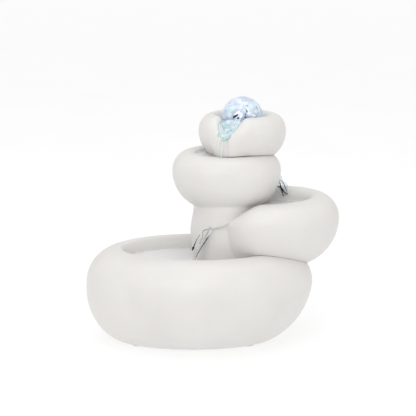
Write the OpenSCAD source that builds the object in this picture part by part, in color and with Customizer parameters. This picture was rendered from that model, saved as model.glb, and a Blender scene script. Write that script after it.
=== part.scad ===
// Tabletop fountain: four soft white bowls stacked one above the other, with a glass ball that
// turns in the top one. A small pump stands in the basin, inside the hollow leg of the tower.
// Millimetres, +Z up, +X to the right, +Y to the back, origin at the middle of the footprint.

/* [Basin] */
// Length and depth of the basin
basin_size = [214.6, 140]; // [60:0.2:300]
// Middle of the basin, from the middle of the footprint
basin_at = [-12.7, 0]; // [-60:0.1:60]
// Height of the basin's widest line and of its rim
basin_levels = [57, 90.5]; // [20:0.5:140]
// Depth of the pool floor above the table
pool_floor = 24; // [12:0.5:60]

/* [Lower bowl] */
// Length and depth of the lower bowl
lower_size = [130, 100]; // [60:0.5:200]
// Middle of the lower bowl
lower_at = [55, 12]; // [-80:0.5:80]
// Height of the lower bowl's widest line and of its rim
lower_levels = [117, 138]; // [60:0.5:200]
// Direction that the lower bowl pours in, degrees from +X
lower_pours = 214; // [0:1:359]
// Height of the lower bowl's lip
lower_lip = 113; // [80:0.5:160]

/* [Middle bowl] */
// Length and depth of the middle bowl
middle_size = [103, 94]; // [60:0.5:200]
// Middle of the middle bowl
middle_at = [13, 18]; // [-80:0.5:80]
// Height of the middle bowl's widest line and of its rim
middle_levels = [161, 179.5]; // [100:0.5:220]
// Direction that the middle bowl pours in, degrees from +X
middle_pours = 18; // [0:1:359]
// Height of the middle bowl's lip
middle_lip = 161; // [120:0.5:200]

/* [Top bowl] */
// Length and depth of the top bowl
top_size = [82.6, 78]; // [50:0.2:140]
// Middle of the top bowl, which is also the axis of the ball and the jet
top_at = [27.7, 24]; // [-80:0.1:80]
// Height of the top bowl's widest line and of its rim
top_levels = [198, 214]; // [140:0.5:260]
// Direction that the top bowl pours in, degrees from +X
top_pours = 244; // [0:1:359]
// Height of the top bowl's lip
top_lip = 196; // [150:0.5:240]

/* [Tower leg] */
// Half sizes of the leg where it stands in the pool
leg_foot = [30, 24]; // [10:0.5:60]
// Middle of the leg where it stands in the pool, which is also the middle of the pump
leg_at = [15, 4]; // [-60:0.5:60]

/* [Ball and light] */
// Diameter of the glass ball
ball_d = 40; // [20:0.5:80]
// Height of the middle of the ball
ball_z = 210; // [150:0.5:260]
// Number of light diodes in the ring under the ball
led_count = 6; // [3:1:12]
// Outside radius of the light ring
ring_r = 14; // [8:0.5:20]

/* [Hose and leads] */
// Outside and inside diameters of the riser hose
hose_d = [10, 7]; // [3:0.5:20]
// Diameter of the two electric leads
lead_d = 2.6; // [1:0.1:6]

/* [Pump] */
// Length, width and height of the pump's motor block
motor = [20, 24, 24]; // [10:1:60]
// Height of the rotor's axis above the underside of the pump
rotor_z = 9; // [5:0.5:20]
// Outside diameter of the impeller
impeller_d = 14; // [8:0.5:30]
// Outside diameter of the outlet spigot
spigot_d = 6.9; // [3:0.1:20]

/* [Walls and gaps] */
// Thickness of the cast ceramic wall
wall = 5; // [3:0.5:10]
// Cement joint between two bowls, and the gap under the tower
joint_gap = 0.4; // [0.2:0.1:1]
// Running gap of the hose on the spigot and of the plug in its socket
slip = 0.05; // [0.01:0.01:0.1]

/* [Hidden] */
// How finely the bowls are drawn: turns round the bowl, steps in each quarter of its section
TURNS = 48;
STEPS = 6;
CORE_TURNS = 32;
CORE_STEPS = 4;
$fn = 48;

CERAMIC = [0.93, 0.93, 0.92];
BLACK = [0.13, 0.13, 0.14];
RUBBER = [0.35, 0.35, 0.36];
STEEL = [0.72, 0.73, 0.75];

// A bowl is a list of named groups, read by the index names below.
// AT and HALF: middle and half sizes in plan
// LEVELS: foot, widest line, rim, how far the rim is higher on one side, and towards which angle
// UNDER: how far the underside draws in, and how deep its curve is
// MOUTH: rim inset, wall inset, wall height, floor curve, floor height, stretch of the insets in X
// SPOUT: angle, spread to each side, sharpness, lip inset, lip height, line under the lip,
//        wall inset at the lip, wall height at the lip
// TUCK: angle, spread and depth of the hollow beside the leg
// LEAN: how far the foot is moved in X
AT = 0;
HALF = 1;
LEVELS = 2;
UNDER = 3;
MOUTH = 4;
SPOUT = 5;
TUCK = 6;
LEAN = 7;
PLAIN = [0, 1, 1, 1, 0, 0, 0, 0, 0];
NO_TUCK = [0, 1, 0];

foot_h = 1.2;
BASIN = [basin_at, basin_size / 2, [foot_h, basin_levels[0], basin_levels[1], 1.2, 90], [57, 62],
    [27, 33, 66, 6, pool_floor, 1.2], PLAIN, NO_TUCK, -6];
LOWER = [lower_at, lower_size / 2, [70, lower_levels[0], lower_levels[1], 3, 60], [48, 48],
    [21, 29, 130, 8, 125, 1], [lower_pours, 32, 50, 1.6, -3, lower_lip, 104, 16, 112],
    [205, 50, 11], 0];
MIDDLE = [middle_at, middle_size / 2, [125, middle_levels[0], middle_levels[1], 1.2, 90], [34, 36],
    [16, 23, 176, 4, 175, 1], [middle_pours, 22, 30, 1, 3, middle_lip, 153, 20, 160.5],
    NO_TUCK, 0];
TOP = [top_at, top_size / 2, [170, top_levels[0], top_levels[1], 0.8, 90], [26, 28],
    [13, 19.5, 200, 4, 180, 1], [top_pours, 32, 36, 1.2, 0, top_lip, 187, 14, 193], NO_TUCK, 0];

// Leg of the tower, from the pool to the seat of the middle bowl: height, half sizes, middle
leg_base = pool_floor + joint_gap;
LEG = [
    [leg_base, leg_foot[0], leg_foot[1], leg_at[0], leg_at[1]],
    [62, 30, 23, 14, 5],
    [104, 34.5, 29, 13, 10],
    [130, 31, 31, 13, 15],
    [146, 28, 28, 14, 18],
];
leg_wall = 4;
// Room inside the leg, which ends under the seat of the middle bowl
leg_core_top = 118;

// Hose and lead: from the pump up to the middle of the top bowl
pump_at = [leg_at[0], leg_at[1], pool_floor + 3];
spigot_at = [pump_at[0] - 7, pump_at[1]];
spigot_top = pump_at[2] + 36;
hose_start = spigot_top - 11;
bend_start = spigot_top + 1;
bend_end = 163;
hose_end = 174.5;
socket_at = [pump_at[0] + 11, pump_at[1] + 7];
socket_top = pump_at[2] + 32;
plug_gap = 0.3;
lead_side = 7;
shelf_hole = [20, 16, 12];
base_hole = [23.5, 18, 10];
floor_hole_r = 10;
// Where the drills for those holes start below the middle and the top bowl, and their length
middle_drills = [120, 160];
top_drill = 165;
drill_h = 20;
// The top bowl is solid inside this radius, where the light sits
top_solid_r = 25.5;
// Vents from the hollow rim of the top bowl, from the axis of the jet
vent_at = 28;

// Levels in the top bowl
top_floor = TOP[MOUTH][4];
seal_top = top_floor + 2;
ring_base = seal_top + 0.2;
ring_top = ring_base + 4.3;
seat_base = ring_top + 0.2;
ball_r = ball_d / 2;
jet_r = hose_d[1] / 2;

// Power inlet at the back, and the lead's way under the pool
grommet_at = [pump_at[0] + 22, pump_at[1]];
inlet_at = [-15, 32];
inlet_face = 62.5;

// Arch in the tower's foot, wide enough for the strainer to be drawn out through it
arch = [28, 38];
foot_top = leg_base + arch[1];

function mix(a, b, t) = a + (b - a) * t;
function smooth(t) = t * t * (3 - 2 * t);
function clamp01(t) = max(0, min(1, t));

// A soft bump over angles: 1 at angle at, and 0 past the spread on either side
function bump(a, at, low, high) =
    let (d = (a - at + 540) % 360 - 180, w = d > 0 ? high : low)
    abs(d) >= w ? 0 : (1 + cos(180 * d / w)) / 2;

// Section of a bowl at angle a: [inset, height] from the foot up the outside, over the rim and
// down the inside to the edge of the floor
function section(f, a, n) =
    let (
        s = f[SPOUT],
        g = pow(bump(a, s[0], s[1], s[2]), s[3]) * (s == PLAIN ? 0 : 1),
        tuck = f[TUCK][2] * bump(a, f[TUCK][0], f[TUCK][1], f[TUCK][1]),
        rise = f[LEVELS][3] * cos(a - f[LEVELS][4]),
        belly = mix(f[LEVELS][1], s[6], g),
        rim = [mix(f[MOUTH][0], s[4], g), mix(f[LEVELS][2] + rise, s[5], g)],
        inner = [mix(f[MOUTH][1], s[7], g), mix(f[MOUTH][2] + rise / 2, s[8], g)],
        start = acos(min(1, (belly - f[LEVELS][0]) / f[UNDER][1]))
    )
    concat(
        [for (i = [0 : n - 1]) let (t = mix(start, 90, i / n))
            [tuck + f[UNDER][0] * (1 - sin(t)), belly - f[UNDER][1] * cos(t)]],
        [for (i = [0 : n - 1]) let (t = 90 * i / n)
            [mix(rim[0], tuck, cos(t)), mix(belly, rim[1], sin(t))]],
        [for (i = [0 : n - 1]) let (t = 90 * i / n)
            [mix(rim[0], inner[0], sin(t)), mix(inner[1], rim[1], cos(t))]],
        [for (i = [0 : n]) let (t = 90 * i / n)
            [inner[0] + f[MOUTH][3] * (1 - cos(t)), mix(inner[1], f[MOUTH][4], sin(t))]]
    );

// The same bowl grown by d all over, or shrunk by d where d is negative
function grown(f, d) =
    let (
        m = f[MOUTH],
        s = f[SPOUT],
        lip = d > 0 ? s[4] + d : max(s[4], 0) + 3 + f[TUCK][2],
        lip_wall = d > 0 ? s[7] - d : max(s[7] + 2 * d, lip + 1)
    )
    [
        f[AT],
        f[HALF] + [d, d],
        [f[LEVELS][0] - d, f[LEVELS][1], f[LEVELS][2] + d, f[LEVELS][3], f[LEVELS][4]],
        [f[UNDER][0], f[UNDER][1] + d],
        [m[0] + d, m[1] + 2 * d, m[2], m[3], m[4] + d, m[5]],
        s == PLAIN ? PLAIN : [s[0], s[1], s[2], s[3], lip, s[5] + d, s[6], lip_wall, s[8] + d],
        f[TUCK],
        f[LEAN],
    ];

// Closed skin over rings of equal length, capped at both ends by a point
function skin_faces(turns, rows) = concat(
    [for (k = [0 : turns - 1], i = [0 : rows - 2])
        let (b = (k + 1) % turns)
        [k * rows + i, k * rows + i + 1, b * rows + i + 1, b * rows + i]],
    [for (k = [0 : turns - 1])
        let (b = (k + 1) % turns)
        [k * rows + rows - 1, turns * rows, b * rows + rows - 1]],
    [for (k = [0 : turns - 1])
        let (b = (k + 1) % turns)
        [b * rows, turns * rows + 1, k * rows]]
);

module bowl(f, turns = TURNS, n = STEPS) {
    sections = [for (k = [0 : turns - 1]) section(f, 360 * k / turns, n)];
    rows = len(sections[0]);
    points = [for (k = [0 : turns - 1], j = [0 : rows - 1])
        let (
            a = 360 * k / turns,
            p = sections[k][j],
            stretch = j > n ? f[MOUTH][5] : 1,
            down = (f[LEVELS][1] - p[1]) / (f[LEVELS][1] - f[LEVELS][0]),
            lean = j < n ? f[LEAN] * down : 0
        )
        [
            f[AT][0] + (f[HALF][0] - p[0] * stretch) * cos(a) + lean,
            f[AT][1] + (f[HALF][1] - p[0]) * sin(a),
            p[1],
        ]];
    middle = concat(f[AT], [f[MOUTH][4]]);
    foot = [f[AT][0] + f[LEAN], f[AT][1], sections[0][0][1]];
    polyhedron(concat(points, [middle, foot]), skin_faces(turns, rows));
}

// Size and middle of the leg at height z
function leg_at_height(z) =
    let (
        i = z < LEG[1][0] ? 0 : z < LEG[2][0] ? 1 : z < LEG[3][0] ? 2 : 3,
        t = smooth(clamp01((z - LEG[i][0]) / (LEG[i + 1][0] - LEG[i][0])))
    )
    [for (j = [1 : 4]) mix(LEG[i][j], LEG[i + 1][j], t)];

module leg(from, to, inset, turns = 40, rows = 12) {
    points = [for (k = [0 : turns - 1], r = [0 : rows])
        let (z = mix(from, to, r / rows), s = leg_at_height(z), a = 360 * k / turns)
        [s[2] + (s[0] - inset) * cos(a), s[3] + (s[1] - inset) * sin(a), z]];
    head = leg_at_height(to);
    foot = leg_at_height(from);
    caps = [[head[2], head[3], to], [foot[2], foot[3], from]];
    polyhedron(concat(points, caps), skin_faces(turns, rows + 1));
}

// A round cord of radius r along a list of points
module cord(path, r, turns = 12) {
    last = len(path) - 1;
    ahead = [for (i = [0 : last]) path[min(i + 1, last)] - path[max(i - 1, 0)]];
    points = [for (k = [0 : turns - 1], i = [0 : last])
        let (
            d = ahead[i] / norm(ahead[i]),
            side = cross(d, [0.3, 1, 0.2]),
            u = side / norm(side),
            v = cross(d, u)
        )
        path[i] - r * (u * cos(360 * k / turns) + v * sin(360 * k / turns))];
    polyhedron(concat(points, [path[last], path[0]]), skin_faces(turns, last + 1));
}

// A block with rounded upright edges, from corner a to corner b
module block(a, b, r = 1.5) {
    translate([a[0], a[1], a[2]])
        linear_extrude(b[2] - a[2])
            translate([r, r])
                offset(r) square([b[0] - a[0] - 2 * r, b[1] - a[1] - 2 * r]);
}

// A cylinder along +X
module rod_x(from, to, r) {
    translate([from, 0, 0]) rotate([0, 90, 0]) cylinder(h = to - from, r = r);
}

// ---- Ceramic ----

module grown_basin() {
    bowl(grown(BASIN, joint_gap));
}

// Room inside the basin's wall, open under the foot
module basin_core() {
    g = grown(BASIN, -wall);
    open = [-1, g[LEVELS][1], g[LEVELS][2], g[LEVELS][3], g[LEVELS][4]];
    bowl([g[AT], g[HALF], open, [65, 62], g[MOUTH], PLAIN, NO_TUCK, g[LEAN]],
        CORE_TURNS, CORE_STEPS);
}

module basin() {
    color(CERAMIC)
        difference() {
            resize([0, 0, 0])
                difference() {
                    bowl(BASIN);
                    basin_core();
                }
            translate([grommet_at[0], grommet_at[1], pool_floor - 8]) cylinder(h = 12, r = 3);
            translate([inlet_at[0], inlet_face - 20, inlet_at[1]])
                rotate([-90, 0, 0]) cylinder(h = 30, r = 4.6);
            translate([inlet_at[0], inlet_face, inlet_at[1]])
                rotate([-90, 0, 0]) cylinder(h = 12, r = 7.6);
        }
}

module foot(i) {
    a = [40, 140, 220, 320][i];
    rim = BASIN[HALF] - [39.5, 39.5];
    color(RUBBER)
        translate([basin_at[0] + BASIN[LEAN] + rim[0] * cos(a), rim[1] * sin(a), 0])
            cylinder(h = foot_h, r = 6);
}

// The wall that the tower stands on round the pump, open at the left
module tower_foot() {
    color(CERAMIC)
        resize([0, 0, 0])
            difference() {
                leg(leg_base, foot_top, 0, 40, 5);
                leg(leg_base - 2, foot_top + 2, leg_wall, 40, 5);
                grown_basin();
                translate([leg_at[0] - 45, leg_at[1] - arch[0] / 2, 0]) cube([45, arch[0], 100]);
            }
}

module lower_bowl() {
    color(CERAMIC)
        resize([0, 0, 0])
            difference() {
                union() {
                    bowl(LOWER);
                    leg(foot_top + joint_gap, LEG[4][0], 0);
                }
                bowl(grown(LOWER, -wall), CORE_TURNS, CORE_STEPS);
                leg(foot_top - 2, leg_core_top, leg_wall, 32, 10);
                grown_basin();
                bowl(grown(MIDDLE, joint_gap));
                translate([shelf_hole[0], shelf_hole[1], leg_core_top - 3])
                    cylinder(h = 30, r = shelf_hole[2]);
            }
}

module middle_bowl() {
    color(CERAMIC)
        difference() {
            resize([0, 0, 0])
                difference() {
                    bowl(MIDDLE);
                    bowl(grown(MIDDLE, -wall), CORE_TURNS, CORE_STEPS);
                }
            translate([base_hole[0], base_hole[1], middle_drills[0]])
                cylinder(h = drill_h, r = base_hole[2]);
            translate([top_at[0], top_at[1], middle_drills[1]]) cylinder(h = drill_h, r = floor_hole_r);
        }
}

// Hollow ring inside the rim of the top bowl
module top_core() {
    g = grown(TOP, -wall);
    m = g[MOUTH];
    ring = [m[0], m[1], m[2], 0.5, top_floor + 4, 1];
    difference() {
        bowl([g[AT], g[HALF], g[LEVELS], g[UNDER], ring, g[SPOUT], g[TUCK], g[LEAN]],
            CORE_TURNS, CORE_STEPS);
        translate([top_at[0], top_at[1], middle_drills[1]]) cylinder(h = 50, r = top_solid_r);
    }
}

module top_bowl() {
    color(CERAMIC)
        difference() {
            resize([0, 0, 0])
                difference() {
                    bowl(TOP);
                    top_core();
                    bowl(grown(MIDDLE, joint_gap + 0.2));
                    for (x = [-vent_at, vent_at])
                        translate([top_at[0] + x, top_at[1], top_drill])
                            cylinder(h = 22, r = 2.5, $fn = 16);
                }
            translate([top_at[0], top_at[1], top_drill]) cylinder(h = drill_h, r = floor_hole_r);
        }
}

// ---- Ball, light and jet ----

module on_jet_axis() {
    translate([top_at[0], top_at[1], 0]) children();
}

module crystal_ball() {
    color([0.62, 0.78, 0.95])
        on_jet_axis() translate([0, 0, ball_z]) sphere(r = ball_r);
}

module ball_seat() {
    color([0.88, 0.93, 0.96])
        on_jet_axis()
            difference() {
                translate([0, 0, seat_base]) cylinder(h = 8.5, r = ring_r - 0.2);
                translate([0, 0, seat_base - 1]) cylinder(h = 20, r = ring_r - 3);
                translate([0, 0, ball_z]) sphere(r = ball_r + 0.25);
                for (a = [0, 90])
                    rotate(a) translate([-20, -2, seat_base + 3]) cube([40, 4, 20]);
            }
}

module light_ring() {
    color([0.9, 0.92, 0.94])
        on_jet_axis()
            difference() {
                translate([0, 0, ring_base]) cylinder(h = ring_top - ring_base, r = ring_r);
                translate([0, 0, ring_base - 1]) cylinder(h = 10, r = jet_r + 0.4);
                for (i = [0 : led_count - 1])
                    rotate(360 * i / led_count)
                        translate([9, 0, ring_top - 2]) cylinder(h = 4, r = 1.7);
                translate([lead_side, 0, ring_base - 1]) cylinder(h = 2.2, r = lead_d / 2);
            }
}

module led(i) {
    color([0.35, 0.75, 1])
        on_jet_axis()
            rotate(360 * i / led_count)
                translate([9, 0, ring_top - 1.9]) {
                    cylinder(h = 1.9, r = 1.6);
                    translate([0, 0, 1.9])
                        intersection() {
                            sphere(r = 1.6);
                            translate([-2, -2, 0]) cube(4);
                        }
                }
}

module jet_nozzle() {
    color([0.85, 0.88, 0.9])
        on_jet_axis()
            difference() {
                union() {
                    translate([0, 0, hose_end - 10]) cylinder(h = ring_top + 1.5 - hose_end + 10, r = jet_r);
                    translate([0, 0, ring_top + 0.3]) cylinder(h = 1.2, r = jet_r + 1);
                }
                translate([0, 0, hose_end - 11]) cylinder(h = 40, r = jet_r - 1.2);
            }
}

module nozzle_seal() {
    color(RUBBER)
        on_jet_axis()
            difference() {
                union() {
                    translate([0, 0, hose_end + 0.5])
                        cylinder(h = seal_top - hose_end - 0.5, r = floor_hole_r);
                    translate([0, 0, top_floor]) cylinder(h = seal_top - top_floor, r = floor_hole_r + 2.5);
                }
                translate([0, 0, 160]) cylinder(h = 40, r = jet_r);
                translate([lead_side, 0, 160]) cylinder(h = 40, r = lead_d / 2);
            }
}

// The hose rises from the spigot and leans over to the axis of the jet
function hose_point(t) = [
    mix(spigot_at[0], top_at[0], smooth(t)),
    mix(spigot_at[1], top_at[1], smooth(t)),
    mix(bend_start, bend_end, t),
];

module riser_hose() {
    bend = [for (i = [0 : 16]) hose_point(i / 16)];
    ends = concat([bend[0] - [0, 0, 2]], bend, [bend[16] + [0, 0, 2]]);
    color([0.82, 0.84, 0.85])
        union() {
            translate([spigot_at[0], spigot_at[1], hose_start])
                difference() {
                    cylinder(h = bend_start - hose_start, r = hose_d[0] / 2);
                    translate([0, 0, -1])
                        cylinder(h = bend_start - hose_start + 2, r = spigot_d / 2 + slip);
                }
            resize([0, 0, 0])
                difference() {
                    cord(bend, hose_d[0] / 2, 20);
                    cord(ends, hose_d[1] / 2, 16);
                }
            on_jet_axis() translate([0, 0, bend_end])
                difference() {
                    cylinder(h = hose_end - bend_end, r = hose_d[0] / 2);
                    translate([0, 0, -1]) cylinder(h = 20, r = jet_r);
                }
        }
}

// The light's lead comes up beside the hose, on its right
function lead_point(t) =
    let (k = smooth(min(1, 2.2 * t)), p = hose_point(t), start = socket_at - spigot_at)
    [p[0] + mix(start[0], lead_side, k), p[1] + mix(start[1], 0, k), p[2]];

module light_lead() {
    color(CERAMIC)
        cord(concat(
            [[socket_at[0], socket_at[1], socket_top + 6], [socket_at[0], socket_at[1], socket_top + 9]],
            [for (i = [1 : 18]) lead_point(i / 18)],
            [[top_at[0] + lead_side, top_at[1], 170], [top_at[0] + lead_side, top_at[1], ring_base + 1]]
        ), lead_d / 2);
}

module light_plug() {
    color(BLACK)
        translate([socket_at[0], socket_at[1], 0]) {
            translate([0, 0, socket_top - 5]) cylinder(h = 5 + plug_gap, r = 2.1 - slip);
            translate([0, 0, socket_top + plug_gap])
                difference() {
                    cylinder(h = 7, r = 3.2);
                    translate([0, 0, 5.7]) cylinder(h = 3, r = lead_d / 2);
                }
        }
}

module light_socket() {
    color(BLACK)
        translate([socket_at[0], socket_at[1], pump_at[2] + motor[2]])
            difference() {
                cylinder(h = socket_top - pump_at[2] - motor[2], r = 3.4);
                translate([0, 0, 2]) cylinder(h = 20, r = 2.1);
            }
}

// ---- Pump: the rotor lies along X, the intake faces -X, the outlet points up ----

module in_pump() {
    translate(pump_at) children();
}

module on_rotor() {
    translate([pump_at[0], pump_at[1], pump_at[2] + rotor_z]) children();
}

// Shape of the iron core, grown by d for the space that it is potted in
module core_block(d) {
    difference() {
        translate([3 - d, -10 - d, 1.5 - d]) cube([9 + 2 * d, 20 + 2 * d, 19.5 + 2 * d]);
        translate([0, 0, rotor_z]) rod_x(0, 16, 6.3 - d);
        translate([0, -4.5 + d, 14.5 + d]) cube([16, 9 - 2 * d, 2.5 - 2 * d]);
    }
}

module pump_housing() {
    color(BLACK)
        in_pump()
            difference() {
                block([-3, -motor[1] / 2, 0], [motor[0] - 3, motor[1] / 2, motor[2]]);
                translate([0, 0, rotor_z]) rod_x(-4, 12, 5.2);
                core_block(0.15);
                translate([1.3, -4.4, 14.4]) cube([12.4, 8.8, 8.4]);
                translate([-3.1, 0, rotor_z]) rotate([0, 90, 0]) o_ring_body(0.55);
                translate([motor[0] - 6, 0, 12]) rod_x(0, 5, lead_d / 2);
            }
}

module stator_core() {
    color(STEEL) in_pump() core_block(0);
}

module coil() {
    color([0.75, 0.42, 0.2])
        in_pump()
            difference() {
                translate([1.5, -4.2, 14.7]) cube([12, 8.4, 7.8]);
                translate([2.8, -5, 16.8]) cube([9.4, 10, 4.4]);
            }
}

module o_ring_body(r) {
    rotate_extrude() translate([8.9, 0]) circle(r = r, $fn = 24);
}

module o_ring() {
    color(BLACK) on_rotor() translate([-3.1, 0, 0]) rotate([0, 90, 0]) o_ring_body(0.5);
}

module volute() {
    color(BLACK)
        in_pump()
            difference() {
                union() {
                    block([-12, -11, 0], [-3.2, 11, 20]);
                    translate([-7, 0, 19]) cylinder(h = 17, r = spigot_d / 2);
                    translate([-7, 0, 19]) cylinder(h = 4, r = spigot_d / 2 + 0.3);
                }
                translate([0, 0, rotor_z]) rod_x(-8.5, -3, impeller_d / 2 + 1);
                difference() {
                    translate([0, 0, rotor_z]) rod_x(-13, -8, 3.8);
                    translate([0, 0, rotor_z]) rod_x(-11, -8.6, 1.8);
                    for (a = [0, 120, 240])
                        translate([0, 0, rotor_z]) rotate([a, 0, 0])
                            translate([-11, -0.5, 0]) cube([2.4, 1, 5]);
                }
                translate([0, 0, rotor_z]) rod_x(-10.2, -8, 1);
                translate([-7, 0, rotor_z]) cylinder(h = 40, r = 2.3);
                translate([-3.1, 0, rotor_z]) rotate([0, 90, 0]) o_ring_body(0.55);
            }
}

module pump_shaft() {
    color([0.95, 0.95, 0.93]) on_rotor() rod_x(-10.1, 11.9, 1);
}

module shaft_bushing() {
    color(RUBBER)
        on_rotor()
            difference() {
                rod_x(10.9, 12, 2.4);
                rod_x(10, 13, 1);
            }
}

module impeller() {
    color([0.9, 0.9, 0.9])
        on_rotor()
            difference() {
                union() {
                    rod_x(-8.2, -3.6, 2.4);
                    rod_x(-4.6, -3.6, impeller_d / 2);
                    for (a = [0 : 60 : 300])
                        rotate([a, 0, 0]) translate([-8, -0.4, 2])
                            cube([3.6, 0.8, impeller_d / 2 - 2.1]);
                }
                rod_x(-9, 0, 1 + slip);
            }
}

module rotor_magnet() {
    color([0.25, 0.25, 0.27])
        on_rotor()
            difference() {
                rod_x(-3.6, 10.6, 4.6);
                rod_x(-5, 12, 1 + slip);
            }
}

module strainer_cover() {
    color(BLACK)
        in_pump()
            difference() {
                block([-19, -10.5, 0.5], [-12.3, 10.5, 20.5], 1.2);
                translate([-17.8, -9.3, 1.7]) cube([10, 18.6, 17.6]);
                for (y = [-8.6 : 2.8 : -5.8], z = [3, 11.4])
                    translate([-20, y, z]) cube([4, 1.4, 6.4]);
                for (y = [4.4 : 2.8 : 7.2], z = [3, 11.4])
                    translate([-20, y, z]) cube([4, 1.4, 6.4]);
                translate([0, 0, 10.5]) rod_x(-20, -17, 1.25);
                for (z = [5.8, 12.2])
                    translate([-20, -2.5, z]) cube([4, 5, 2.2]);
            }
}

module filter_sponge() {
    color([0.2, 0.2, 0.21])
        in_pump() translate([-16.2, -9, 2]) cube([3.7, 18, 17]);
}

module flow_dial() {
    color([0.3, 0.31, 0.33])
        in_pump()
            translate([0, 0, 10.5])
                difference() {
                    union() {
                        rod_x(-20.3, -19.1, 5.6);
                        rod_x(-19.2, -16.8, 1.2);
                        translate([-21.6, -0.7, -5]) cube([1.5, 1.4, 10]);
                    }
                    for (z = [-4.4, 2.2], y = [-4, 1])
                        translate([-21, y, z]) cube([3, 3, 2.2]);
                }
}

module suction_cup(i) {
    place = [[-8, -8], [12, -8], [-8, 8], [12, 8]][i];
    color([0.6, 0.6, 0.62])
        in_pump()
            translate([place[0], place[1], pool_floor - pump_at[2]])
                difference() {
                    union() {
                        cylinder(h = 1.4, r1 = 4, r2 = 2.2, $fn = 32);
                        cylinder(h = pump_at[2] - pool_floor, r = 1.8);
                    }
                    translate([0, 0, -1]) cylinder(h = 1.7, r = 1.6);
                }
}

// ---- Power ----

module pump_lead() {
    g = grommet_at;
    way = [
        [pump_at[0] + motor[0] - 5, g[1], 39], [pump_at[0] + motor[0] - 3, g[1], 39], [g[0] - 2.2, g[1], 38.3],
        [g[0] - 0.6, g[1], 36.6], [g[0], g[1], 34], [g[0], g[1], 28], [g[0], g[1], 18],
        [g[0] - 0.3, g[1] + 1, 14], [g[0] - 1.5, g[1] + 4.5, 11.4], [33, 16, 11], [24, 26, 12],
        [10, 35, 14.5], [-4, 41.5, 20], [-11, 43.5, 26], [-14.3, 45, 30.5],
        [inlet_at[0], 47.5, inlet_at[1]], [inlet_at[0], 50.5, inlet_at[1]],
    ];
    color([0.16, 0.16, 0.17]) cord(way, lead_d / 2);
}

module pool_grommet() {
    color(RUBBER)
        translate([grommet_at[0], grommet_at[1], 0])
            difference() {
                union() {
                    translate([0, 0, pool_floor - wall - 1.5]) cylinder(h = wall + 3, r = 3);
                    translate([0, 0, pool_floor]) cylinder(h = 1.4, r = 3.8);
                    translate([0, 0, pool_floor - wall - 1.5]) cylinder(h = 1.5, r = 3.8);
                }
                cylinder(h = 40, r = lead_d / 2);
            }
}

module on_inlet() {
    translate([inlet_at[0], inlet_face, inlet_at[1]]) rotate([-90, 0, 0]) children();
}

module power_inlet() {
    color(BLACK)
        on_inlet()
            difference() {
                union() {
                    cylinder(h = 1.8, r = 7);
                    translate([0, 0, -12.5]) cylinder(h = 12.6, r = 4.5);
                }
                translate([0, 0, -9])
                    difference() {
                        cylinder(h = 12, r = 2.9);
                        cylinder(h = 8, r = 0.9);
                    }
                translate([0, 0, -13]) cylinder(h = 1.5, r = lead_d / 2);
            }
}

module inlet_nut() {
    color(STEEL)
        on_inlet()
            translate([0, 0, -11.2])
                difference() {
                    cylinder(h = 3, r = 6.6, $fn = 6);
                    translate([0, 0, -1]) cylinder(h = 5, r = 4.5);
                }
}

basin();
for (i = [0 : 3])
    foot(i);
tower_foot();
lower_bowl();
middle_bowl();
top_bowl();
crystal_ball();
ball_seat();
light_ring();
for (i = [0 : led_count - 1])
    led(i);
jet_nozzle();
nozzle_seal();
riser_hose();
light_lead();
light_plug();
light_socket();
pump_housing();
stator_core();
coil();
volute();
o_ring();
pump_shaft();
impeller();
rotor_magnet();
shaft_bushing();
strainer_cover();
filter_sponge();
flow_dial();
for (i = [0 : 3])
    suction_cup(i);
pump_lead();
pool_grommet();
power_inlet();
inlet_nut();
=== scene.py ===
"""Looks of a tabletop fountain: four soft white bowls, a lit glass ball and falling water.

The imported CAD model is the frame. Every piece here is placed from its boxes, in metres, and rides
on one of its bodies. Sizes that the boxes don't give are fields of the classes, in millimetres.
"""

import logging
import math
import random
from dataclasses import dataclass, field, replace
from enum import Enum
from typing import Any, Callable, Iterable, Optional, Sequence

import bmesh
import bpy
from mathutils import Matrix, Vector, noise


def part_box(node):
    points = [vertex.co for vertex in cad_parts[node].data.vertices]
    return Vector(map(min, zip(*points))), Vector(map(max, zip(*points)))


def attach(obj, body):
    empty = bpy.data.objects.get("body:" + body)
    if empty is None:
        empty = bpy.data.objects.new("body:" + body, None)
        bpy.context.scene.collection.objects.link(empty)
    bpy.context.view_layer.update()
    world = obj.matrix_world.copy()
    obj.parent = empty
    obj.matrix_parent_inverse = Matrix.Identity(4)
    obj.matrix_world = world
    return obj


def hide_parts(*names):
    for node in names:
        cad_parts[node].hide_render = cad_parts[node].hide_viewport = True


log = logging.getLogger("fountain")
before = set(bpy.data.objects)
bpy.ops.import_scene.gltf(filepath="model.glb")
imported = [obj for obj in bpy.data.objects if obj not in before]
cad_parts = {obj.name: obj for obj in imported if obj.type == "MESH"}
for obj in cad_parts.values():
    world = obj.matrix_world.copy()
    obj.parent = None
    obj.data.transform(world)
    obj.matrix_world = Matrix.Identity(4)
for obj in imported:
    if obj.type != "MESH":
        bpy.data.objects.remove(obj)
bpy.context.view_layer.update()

MM = 0.001
Pair = tuple[float, float]
Triple = tuple[float, float, float]


# ---------------------------------------------------------------- helpers


def linear(code: str) -> tuple[float, float, float, float]:
    """Turn an sRGB hex colour to the linear values that shaders take.

    Args:
        code: Colour as "#RRGGBB".

    Returns:
        Red, green, blue and an alpha of 1.
    """
    parts = [int(code[i : i + 2], 16) / 255 for i in (1, 3, 5)]
    red, green, blue = (
        c / 12.92 if c <= 0.04045 else ((c + 0.055) / 1.055) ** 2.4 for c in parts
    )
    return red, green, blue, 1.0


def mix(a: float, b: float, t: float) -> float:
    """Return the value that lies a share t of the way from a to b."""
    return a + (b - a) * t


def smooth(t: float) -> float:
    """Return t eased at both ends, held between 0 and 1."""
    t = min(1.0, max(0.0, t))
    return t * t * (3 - 2 * t)


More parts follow.
